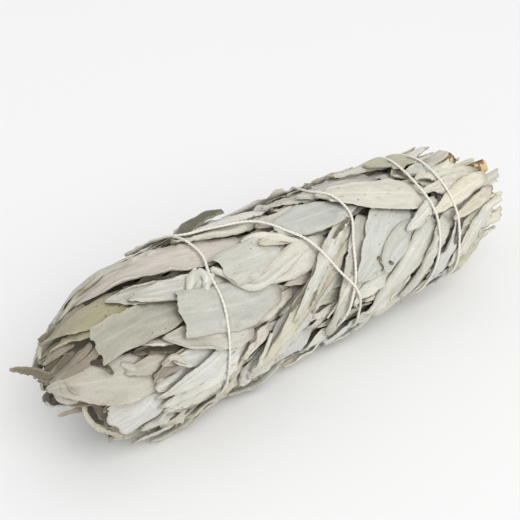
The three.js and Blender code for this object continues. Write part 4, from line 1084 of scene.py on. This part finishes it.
def add_leaf(bm, leaf):
    number = leaf["number"]
    draw = np.random.default_rng(CREASE_SEED + number)
    points = leaf_faces(leaf, draw)
    lowest = np.array([0.02, 0.3]) * MM     # of the under and the upper face, over the floor
    points[..., 2] = np.maximum(points[..., 2], lowest[:, None, None])
    t, across = leaf["t"][:, None], leaf["across"]
    tone = varied_tone(leaf["tone"], draw)
    marks = {
        "place": stack(t * leaf["length"], across * leaf["width"] / 2, 11.3 * number),
        # the second share is how strongly painted shade darkens the leaf where other leaves cover it
        "share": stack(to_edge(leaf), leaf["shelter"] * soil_share(leaf["run"]), draw.uniform(0, 1)),
        # the tone is darkened towards the blunt end, as painted shade
        "tone": tone * weathering(leaf["run"])[..., None],
    }
    slab(bm, points, marks)


def weathering(run):
    """Painted shade: leaves are painted darker towards the blunt end, where less light falls."""
    return np.interp(outline_at(run)[0], (-70, -55, -38, -15), (0.79, 0.87, 0.94, 1))


def soil_share(run):
    """Painted shade under covering leaves is darkest at the blunt end."""
    return np.interp(outline_at(run)[0], (-58, -40), (1.1, 0.72))


def varied_tone(name, draw):
    """A tone of the list in light, a little lighter or darker and warmer or cooler."""
    tone = np.array([linear(channel) for channel in TONES[name]])
    return tone * draw.uniform(0.92, 1.06) * (1 + draw.uniform(-0.025, 0.025) * np.array([1, 0, -1]))


CURL_COLUMNS = 11


def add_curl(bm, number, places, width, curl, twist, tone):
    """A rolled and twisted strip along these places."""
    draw = np.random.default_rng(CURL_SEED + number)
    run, angle, over = places_along(places)
    heights = over + draw_taut(pile.max(0)[cells(run, angle)])
    centre = straight_point(run, angle, heights)
    side, outward = directions(centre, straight_point(run, angle, heights + 1) - centre)
    t = np.linspace(0, 1, len(run))[:, None]
    across = np.linspace(-1, 1, CURL_COLUMNS)
    length = t * len(run) * THREAD_STEP
    half = width / 2 * np.sin(np.pi * (0.22 + 0.73 * t)) ** 0.7 * (1 + 0.1 * ripple(draw, length, 0, 5, 1))
    bend = curl * (1 + 0.3 * ripple(draw, length, 0, 6, 1))
    sideways = half * np.sin(across * bend) / bend
    up = half * (1 - np.cos(across * bend)) / bend + 0.12 * ripple(draw, length, across * half, 3, 2)
    turn = twist * t
    sideways, up = sideways * np.cos(turn) - up * np.sin(turn), sideways * np.sin(turn) + up * np.cos(turn)
    middle = centre[:, None] + sideways[..., None] * side[:, None] + up[..., None] * outward[:, None]
    points = thicken(middle, middle + outward[:, None], np.full(middle.shape[:2], LEAF_THICKNESS / 2))
    points[..., 2] = np.maximum(points[..., 2], 0.05 * MM)
    marks = {
        "place": stack(length + 8, across * half, 17.9 * number + 2000),
        "share": stack((1 - np.abs(across)) * half, 0 * t, draw.uniform(0, 1)),
        # the tone is darkened towards the blunt end, as painted shade
        "tone": varied_tone(tone, draw) * np.broadcast_to(weathering(run)[:, None, None], middle.shape),
    }
    slab(bm, points, marks)


UNSEEN = 0.95            # nothing shows of a leaf that other leaves cover at least this much all over


def make_leaves(material):
    """The leaves and curls of each stem as one piece."""
    for stem in range(STEM_COUNT):
        bm = marked_bmesh()
        for leaf in leaves:
            if leaf["stem"] == stem and leaf["shelter"].min() < UNSEEN:
                add_leaf(bm, leaf)
        for number, (places, *form) in enumerate(CURLS):
            if wedge_of(places[0][1]) == stem:
                add_curl(bm, number, places, *form)
        new_object(f"dry_leaves_{stem + 1}", bm, material, f"leaves_{stem + 1}")


# ---- packed inner leaves, seen in the gaps ----
INNER_STEP = 1.4
INNER_COLUMNS = 23
INNER_GAP = 0.4          # degrees kept clear of the sides of a stem's wedge


def make_inner_leaves(material):
    """A crumpled wedge round each stem, drawn in at the blunt end."""
    draw = np.random.default_rng(INNER_SEED)
    for stem in range(STEM_COUNT):
        bm = marked_bmesh()
        run = np.arange(2, run_at(CORE_END), INNER_STEP)[:, None]
        turn = np.linspace(-1, 1, INNER_COLUMNS) * (WEDGE_ANGLE / 2 - INNER_GAP)
        angle = stem_angle(stem) + turn
        aside = turn * AROUND_PER_DEGREE
        crumple = 0.5 * ripple(draw, run, aside, 12, 2.4, 12) + 0.3 * ripple(draw, run, aside, 4, 1.5, 12)
        depth = bare_height(run) - FILLING_DEPTH - 0.5
        outer = straight_point(run, angle, depth + crumple * smoothstep(run, 2, 6))
        past_tips = outer[..., 0] - [tip_limit(place) for place in angle]
        outer = outer * stack(1, *[0.3 + 0.7 * smoothstep(past_tips, -2, 9)] * 2)
        inner = outer * (1, 0.1, 0.1)
        run, aside = np.broadcast_arrays(run, aside)
        place = stack(run, aside, 50.0 * stem)
        slab(bm, settle(np.array([inner, outer])), {"place": place})
        new_object(f"inner_leaves_{stem + 1}", bm, material, f"leaves_{stem + 1}")


# ---- cut stems and leaf stalks ----
def rod_rings(path, radii):
    """Rings round a path, with radii[step, side]."""
    side, up = directions(path, (0, 0, 1))
    turns = turns_round(radii.shape[1])
    spokes = np.cos(turns)[:, None] * side[:, None] + np.sin(turns)[:, None] * up[:, None]
    return path[:, None] + radii[..., None] * spokes


STEM_STEP = 0.8
STEM_SIDES = 28
CUT_FACE = ((0, 0.93), (0.03, 0.74), (0.06, 0.28))     # steps past the stem's end, share of the radius there


def make_stems(material):
    for k in range(STEM_COUNT):
        draw = np.random.default_rng(STEM_SEED + k)
        knots = (
            (STEM_INNER_END, STEM_ORBIT - 4), (10, STEM_ORBIT - 1), (50, STEM_ORBIT),
            (STEM_REACH[k], STEM_ORBIT - 0.6),
        )
        corners = [round_axis(x, orbit, stem_angle(k)) for x, orbit in knots]
        path = smooth_curve(corners, STEM_STEP, centripetal=True)
        along = np.arange(len(path)) * STEM_STEP
        steps, shares = np.array(CUT_FACE).T
        path = np.vstack([path[:-1], path[-1] + stack(steps, 0, 0)])
        along = np.append(along[:-1], along[-1] + steps)[:, None]
        turns = turns_round(STEM_SIDES)
        square = 1 + 0.07 * np.cos(4 * turns)
        ridges = 0.1 * ripple(draw, along, turns * STEM_DIAMETER / 2, 14, 0.9, 9)
        radii = (STEM_DIAMETER / 2 - 0.15) * square + ridges
        radii[-3:] *= shares[:, None]
        rings = rod_rings(path, radii)
        lean = draw.uniform(-0.25, 0.25, 2)
        rings[-3:, :, 0] += (rings[-3:] - path[-3:, None]) @ np.array([0, *lean])
        bark = np.ones_like(radii)      # 1 on the bark and 0 on the cut face
        bark[-2:] = 0
        place = stack(along, radii * np.cos(turns), radii * np.sin(turns))
        bm = marked_bmesh()
        tube(bm, settle(rings), {"place": place, "share": stack(bark, 0, 0)})
        new_object(f"cut_stem_{k + 1}", bm, material, f"stem_{k + 1}")


# Rings of stalks between the stems: (share of the outline's radius, count, width).
STALK_RINGS = ((0.98, 24, 5.6), (0.86, 20, 5), (0.66, 14, 4.6), (0.44, 9, 4.2), (0.2, 5, 3.6))
STALK_START = 50
STALK_PLACE = 46         # where their own surface is counted from
STALK_MESH = (30, 9)
STALK_TONES = ("cream", "yellow", "cream", "beige", "pale")
SHORT_STALKS = (52, 135)  # outer stalks between these angles end early, so that the cut stems stand out
SHORTENED = 11


def make_stalks(material):
    """Leaf stalks and cut leaf bases that fill the end between the stems."""
    meshes = [marked_bmesh() for _ in range(STEM_COUNT)]
    draw = np.random.default_rng(STALK_SEED)
    number = 0
    for share, count, width in STALK_RINGS:
        for i in range(count):
            number += 1
            angle = 360 / count * (i + draw.uniform(-0.35, 0.35))
            end = draw.uniform(70, 78)
            if share > 0.8 and SHORT_STALKS[0] < angle < SHORT_STALKS[1]:
                end -= SHORTENED
            t = np.linspace(0, 1, STALK_MESH[0])[:, None]
            across = np.linspace(-1, 1, STALK_MESH[1])
            x = STALK_START + (end - STALK_START) * t
            radius = (np.interp(x, OUTLINE_ROWS[:, 0], OUTLINE_ROWS[:, 1]) - 2.6 * (1 - t)) * share
            half = width / 2 * draw.uniform(0.6, 1.1) * (1 - 0.35 * t)
            bent = draw.uniform(-8, 8) * t**2 + draw.uniform(-3, 3) * np.sin(3 * t)
            turn = np.degrees(across * half / np.maximum(radius, 2)) + angle + bent
            hollow = draw.uniform(-0.9, 0.9) * across**2 + 0.25 * ripple(draw, x, across * half, 9, 2)
            thick = draw.uniform(0.25, 0.7) * (1 - 0.75 * across**2)
            ragged = 0.6 * ripple(draw, across * half, 0, 2.5, 1) * smoothstep(t, 0.7, 1)
            faces = [round_axis(x + ragged, radius + hollow + side * thick, turn) for side in (-1, 1)]
            tone = varied_tone(str(draw.choice(STALK_TONES)), draw)
            to_side = (1 - np.abs(across)) * half
            marks = {
                "place": stack(x - STALK_PLACE, across * half, 13.7 * number + 900),
                # the second share paints stalks deeper in the bunch half darkened, as painted shade
                "share": stack(to_side + 0 * x, 0.5 * smoothstep(-x, -66, -58), draw.uniform(0, 1)),
                "tone": np.broadcast_to(tone, (*STALK_MESH, 3)),
            }
            slab(meshes[wedge_of(angle)], settle(np.array(faces)), marks)
    for k, bm in enumerate(meshes):
        new_object(f"leaf_stalks_{k + 1}", bm, material, f"leaves_{k + 1}")


# ---- thread ----
THREAD_SIDES = 12


def make_thread(material):
    """Two plies twisted round each other, as one rod with a waist between them."""
    centre = straight_point(thread_run, thread_angle, thread_height)
    centre[:, 2] = np.maximum(centre[:, 2], THREAD_DIAMETER / 2 - AXIS_HEIGHT)
    side, outward = directions(centre, straight_point(thread_run, thread_angle, thread_height + 1) - centre)
    turns = turns_round(THREAD_SIDES)
    length = np.arange(len(centre))[:, None] * THREAD_STEP
    twist = turns + length / THREAD_TWIST * 2 * np.pi
    radii = THREAD_DIAMETER / 2 * (0.76 + 0.24 * np.abs(np.cos(turns)))
    rings = centre[:, None] + (radii * np.cos(twist))[..., None] * side[:, None]
    rings = rings + (radii * np.sin(twist))[..., None] * outward[:, None]
    bm = marked_bmesh()
    place = stack(length, radii * np.cos(turns), radii * np.sin(turns))
    tube(bm, settle(rings), {"place": place})
    new_object("cotton_thread", bm, material, "thread")


# ---- materials ----
class Wiring:
    """Adds nodes to a tree, each with its inputs wired or set. Colours are given as they look on screen."""

    def __init__(self, tree):
        self.tree = tree

    def node(self, kind, inputs, **settings):
        node = self.tree.nodes.new("ShaderNode" + kind)
        for name, value in settings.items():
            setattr(node, name, value)
        for key, value in inputs.items():
            self.feed(node.inputs[key], value)
        return node

    def feed(self, socket, value):
        if isinstance(value, bpy.types.NodeSocket):
            self.tree.links.new(value, socket)
        else:
            socket.default_value = value

    def mark(self, name):
        """What the meshes carry under this name."""
        return self.node("Attribute", {}, attribute_name=name).outputs["Vector"]

    def parts(self, vector):
        """The three numbers of a vector."""
        return self.node("SeparateXYZ", {0: vector}).outputs

    def math(self, operation, *values):
        return self.node("Math", dict(enumerate(values)), operation=operation).outputs[0]

    def product(self, first, second):
        return self.math("MULTIPLY", first, second)

    def stretched(self, vector, x, y, z=1.0):
        return self.node("VectorMath", {0: vector, 1: (x, y, z)}, operation="MULTIPLY").outputs[0]

    def noise(self, vector, scale, detail=2.0, roughness=0.5):
        inputs = {"Vector": vector, "Scale": scale, "Detail": detail, "Roughness": roughness}
        return self.node("TexNoise", inputs).outputs["Fac"]

    def cracks(self, vector, scale):
        """Distance from a net of cracks."""
        return self.dots(vector, scale, "DISTANCE_TO_EDGE")

    def dots(self, vector, scale, feature="F1"):
        """Distance from scattered dots."""
        node = self.node("TexVoronoi", {"Vector": vector, "Scale": scale}, feature=feature)
        return node.outputs["Distance"]

    def rescale(self, value, low, high, to_low=0.0, to_high=1.0, smooth=False):
        inputs = {"Value": value, "From Min": low, "From Max": high, "To Min": to_low, "To Max": to_high}
        kind = "SMOOTHSTEP" if smooth else "LINEAR"
        return self.node("MapRange", inputs, interpolation_type=kind).outputs["Result"]

    def blend(self, factor, first, second, how="MIX"):
        node = self.node("Mix", {}, data_type="RGBA", blend_type=how)
        for socket, value in ((0, factor), (6, first), (7, second)):
            if isinstance(value, tuple):
                value = (*[linear(channel) for channel in value], 1)
            self.feed(node.inputs[socket], value)
        return node.outputs[2]


SPECULAR = 0.25          # of every surface here, which are all dull


def new_material(name, roughness, sheen=0.0):
    material = bpy.data.materials.new(name)
    material.use_nodes = True
    shader = material.node_tree.nodes["Principled BSDF"]
    shader.inputs["Roughness"].default_value = roughness
    shader.inputs["Specular IOR Level"].default_value = SPECULAR
    shader.inputs["Sheen Weight"].default_value = sheen
    return material, shader, Wiring(material.node_tree)


def dress(wiring, shader, colour, height):
    """Feeds a shader its colour, and its bump from a height in millimetres."""
    bump = wiring.node("Bump", {"Height": height, "Strength": 1.0, "Distance": MM})
    wiring.feed(shader.inputs["Base Color"], colour)
    wiring.feed(shader.inputs["Normal"], bump.outputs["Normal"])


def shared_effect(name, inputs, outputs):
    """An empty node group, with its wiring and its input sockets by name."""
    tree = bpy.data.node_groups.new(name, "ShaderNodeTree")
    for label, kind in inputs.items():
        tree.interface.new_socket(label, in_out="INPUT", socket_type=kind)
    for label, kind in outputs.items():
        tree.interface.new_socket(label, in_out="OUTPUT", socket_type=kind)
    source = tree.nodes.new("NodeGroupInput").outputs
    result = tree.nodes.new("NodeGroupOutput").inputs
    return tree, Wiring(tree), source, result


# What tints a leaf, and how it looks on screen. The last entry is painted shade, the colour painted where
# other leaves cover this one.
STAINS = {
    "mottled": (0.93, 0.91, 0.86), "felt": (0.45, 0.43, 0.36), "crack": (0.42, 0.39, 0.30),
    "edge": (0.84, 0.80, 0.70), "worn rim": (0.50, 0.42, 0.31), "blotch": (0.50, 0.42, 0.29),
    "speck": (0.36, 0.28, 0.19), "base": (0.50, 0.43, 0.32), "sheltered": (0.38, 0.34, 0.26),
}


def leaf_surface():
    """Group: colour and height of a dried, felted leaf, with painted shade where other leaves cover it."""
    inputs = {"Tone": "NodeSocketColor", "Place": "NodeSocketVector", "Share": "NodeSocketVector"}
    outputs = {"Color": "NodeSocketColor", "Height": "NodeSocketFloat"}
    tree, wire, source, result = shared_effect("felted leaf", inputs, outputs)
    place = source["Place"]
    across = wire.parts(place)[1]
    edge, shelter, chance = wire.parts(source["Share"])
    mottle = wire.noise(wire.stretched(place, 0.5, 1.0), 0.3, 3.0)
    streaks = wire.noise(wire.stretched(place, 0.22, 1.0), 1.1, 3.0)
    felt = wire.noise(place, 4.5, 2.0)
    pebble = wire.rescale(wire.cracks(place, 1.5), 0.0, 0.3)
    midrib = wire.rescale(wire.math("ABSOLUTE", across), 0.1, 0.55, 1.0, 0.0, smooth=True)

    lighter = wire.node("VectorMath", {0: source["Tone"], 3: 1.3}, operation="SCALE").outputs[0]
    mottled = wire.rescale(mottle, 0.35, 0.7, 0.0, 0.6)
    colour = wire.blend(mottled, source["Tone"], STAINS["mottled"], "MULTIPLY")
    colour = wire.blend(wire.rescale(streaks, 0.3, 0.75, 0.0, 0.5), colour, lighter)
    colour = wire.blend(wire.rescale(felt, 0.3, 0.7, 0.16, 0.0), colour, STAINS["felt"])
    colour = wire.blend(wire.product(midrib, 0.3), colour, lighter)
    colour = wire.blend(wire.rescale(pebble, 0.0, 1.0, 0.12, 0.0), colour, STAINS["crack"])

    ragged = wire.math("ADD", edge, wire.rescale(wire.noise(place, 0.9, 2.0), 0.3, 0.7, -0.3, 0.4))
    colour = wire.blend(wire.rescale(ragged, 0.2, 1.0, 0.22, 0.0, smooth=True), colour, STAINS["edge"])
    worn = wire.rescale(wire.noise(place, 0.35, 2.0), 0.45, 0.65)
    rim = wire.product(worn, wire.rescale(ragged, -0.05, 0.2, 0.75, 0.0, smooth=True))
    colour = wire.blend(rim, colour, STAINS["worn rim"])
    blotch = wire.rescale(wire.noise(wire.stretched(place, 0.6, 1.0), 0.5, 4.0, 0.6), 0.62, 0.72)
    blotch = wire.product(blotch, wire.rescale(chance, 0.35, 1.0, 0.0, 0.4))
    colour = wire.blend(blotch, colour, STAINS["blotch"])
    speck = wire.rescale(wire.dots(place, 0.35), 0.05, 0.11, 1.0, 0.0)
    speck = wire.product(speck, wire.rescale(chance, 0.35, 0.9, 0.0, 0.8))
    colour = wire.blend(speck, colour, STAINS["speck"])
    base = wire.rescale(wire.parts(place)[0], 1.0, 7.0, 0.7, 0.0, smooth=True)
    colour = wire.blend(base, colour, STAINS["base"])
    # painted shade: darker where other leaves lie close over this one
    hidden = wire.rescale(shelter, 0.45, 1.0, 0.0, 0.6, smooth=True)
    wire.feed(result["Color"], wire.blend(hidden, colour, STAINS["sheltered"]))

    height = wire.product(pebble, 0.035)
    height = wire.math("MULTIPLY_ADD", streaks, 0.16, height)
    height = wire.math("MULTIPLY_ADD", felt, 0.05, height)
    wire.feed(result["Height"], wire.math("MULTIPLY_ADD", midrib, -0.05, height))
    return tree


def leaf_material(surface):
    material, shader, wire = new_material("dry sage leaf", 0.9, sheen=0.25)
    group = wire.node("Group", {}, node_tree=surface)
    for name in ("Tone", "Place", "Share"):
        wire.feed(group.inputs[name], wire.mark(name.lower()))
    dress(wire, shader, group.outputs["Color"], group.outputs["Height"])
    return material


def inner_leaf_material():
    material, shader, wire = new_material("packed inner leaf", 0.95)
    place = wire.mark("place")
    crumple = wire.noise(wire.stretched(place, 0.3, 1.0), 0.8, 4.0, 0.65)
    fine = wire.noise(place, 3.0, 3.0)
    colour = wire.blend(wire.rescale(crumple, 0.35, 0.65), (0.42, 0.38, 0.30), (0.66, 0.62, 0.52))
    colour = wire.blend(wire.rescale(fine, 0.4, 0.7, 0.0, 0.4), colour, (0.66, 0.62, 0.51))
    blunt_end = wire.rescale(wire.parts(place)[0], 18.0, 36.0, 0.6, 0.0, smooth=True)
    colour = wire.blend(blunt_end, colour, (0.27, 0.23, 0.17))
    height = wire.math("MULTIPLY_ADD", crumple, 1.2, wire.product(fine, 0.3))
    dress(wire, shader, colour, height)
    return material


def stem_material():
    material, shader, wire = new_material("dry woody stem", 0.8)
    place = wire.mark("place")
    grain = wire.noise(wire.stretched(place, 0.12, 1.0), 2.2, 4.0, 0.6)
    blotch = wire.noise(place, 0.35, 3.0)
    colour = wire.blend(wire.rescale(grain, 0.3, 0.7), (0.30, 0.22, 0.15), (0.66, 0.55, 0.42))
    colour = wire.blend(wire.rescale(blotch, 0.45, 0.7, 0.0, 0.5), colour, (0.40, 0.30, 0.21))
    bark = wire.parts(wire.mark("share"))[0]
    peeled = wire.rescale(wire.noise(place, 0.3, 3.0), 0.5, 0.55)
    colour = wire.blend(peeled, colour, (0.84, 0.74, 0.55))
    colour = wire.blend(bark, wire.blend(blotch, (0.90, 0.82, 0.66), (0.76, 0.65, 0.47)), colour)
    height = wire.product(grain, 0.3)
    dress(wire, shader, colour, height)
    return material


def thread_material():
    material, shader, wire = new_material("twisted white cotton", 0.85, sheen=0.3)
    place = wire.mark("place")
    fibres = wire.noise(wire.stretched(place, 1.0, 3.0, 3.0), 3.0, 3.0)
    soil = wire.noise(wire.stretched(place, 1.0, 0.2, 0.2), 0.15, 2.0)
    colour = wire.blend(wire.rescale(fibres, 0.3, 0.7), (0.86, 0.84, 0.79), (0.97, 0.965, 0.94))
    colour = wire.blend(wire.rescale(soil, 0.4, 0.7, 0.0, 0.25), colour, (0.84, 0.79, 0.69))
    dress(wire, shader, colour, wire.product(fibres, 0.08))
    return material


def surface_material():
    material, shader, wire = new_material("white surface", 0.6)
    coordinates = wire.node("TexCoord", {}).outputs["Object"]
    cloud = wire.noise(coordinates, 3.0, 2.0)
    colour = wire.blend(wire.rescale(cloud, 0.3, 0.7), (0.934, 0.934, 0.934), (0.940, 0.940, 0.940))
    wire.feed(shader.inputs["Base Color"], colour)
    return material


dry_leaf = leaf_material(leaf_surface())
make_leaves(dry_leaf)
make_stalks(dry_leaf)
make_inner_leaves(inner_leaf_material())
make_stems(stem_material())
make_thread(thread_material())


# ---- floor, light and camera ----
FLOOR_SIZE = 6           # in metres, as the lamp's place and size are


def make_floor():
    bpy.ops.mesh.primitive_plane_add(size=FLOOR_SIZE)
    floor = bpy.context.object
    floor.name = "pale_floor"
    floor.data.materials.append(surface_material())


CAMERA_YAW = -38
CAMERA_PITCH = 34
CAMERA_TARGET = (-3.9, 0.4, 31.6)
CAMERA_DISTANCE = 300
SENSOR_WIDTH = 36
FOCAL_LENGTH = 1100 / 520 * SENSOR_WIDTH


def make_camera():
    yaw, pitch = math.radians(CAMERA_YAW), math.radians(CAMERA_PITCH)
    back = Vector((math.sin(yaw) * math.cos(pitch), -math.cos(yaw) * math.cos(pitch), math.sin(pitch)))
    camera_data = bpy.data.cameras.new("camera")
    camera_data.sensor_width = SENSOR_WIDTH
    camera_data.lens = FOCAL_LENGTH
    camera_data.clip_start = 0.01
    camera = bpy.data.objects.new("camera", camera_data)
    camera.location = Vector(CAMERA_TARGET) * MM + back * (CAMERA_DISTANCE * MM)
    camera.rotation_euler = (-back).to_track_quat("-Z", "Y").to_euler()
    bpy.context.scene.collection.objects.link(camera)
    bpy.context.scene.camera = camera


LAMP_PLACE = (-0.6, -3.2, 3.2)
LAMP_SIZE = 4
LAMP_POWER = 150
SKY_STRENGTH = 0.7


def make_light():
    world = bpy.data.worlds.new("studio")
    bpy.context.scene.world = world
    world.use_nodes = True
    background = world.node_tree.nodes["Background"]
    background.inputs["Color"].default_value = (1, 1, 1, 1)
    background.inputs["Strength"].default_value = SKY_STRENGTH
    lamp = bpy.data.lights.new("soft_box", "AREA")
    lamp.energy = LAMP_POWER
    lamp.size = LAMP_SIZE
    lamp_object = bpy.data.objects.new("soft_box", lamp)
    lamp_object.location = LAMP_PLACE
    lamp_object.rotation_euler = (-Vector(LAMP_PLACE)).to_track_quat("-Z", "Y").to_euler()
    bpy.context.scene.collection.objects.link(lamp_object)
    bpy.context.scene.view_settings.view_transform = "Standard"


make_floor()
make_camera()
make_light()
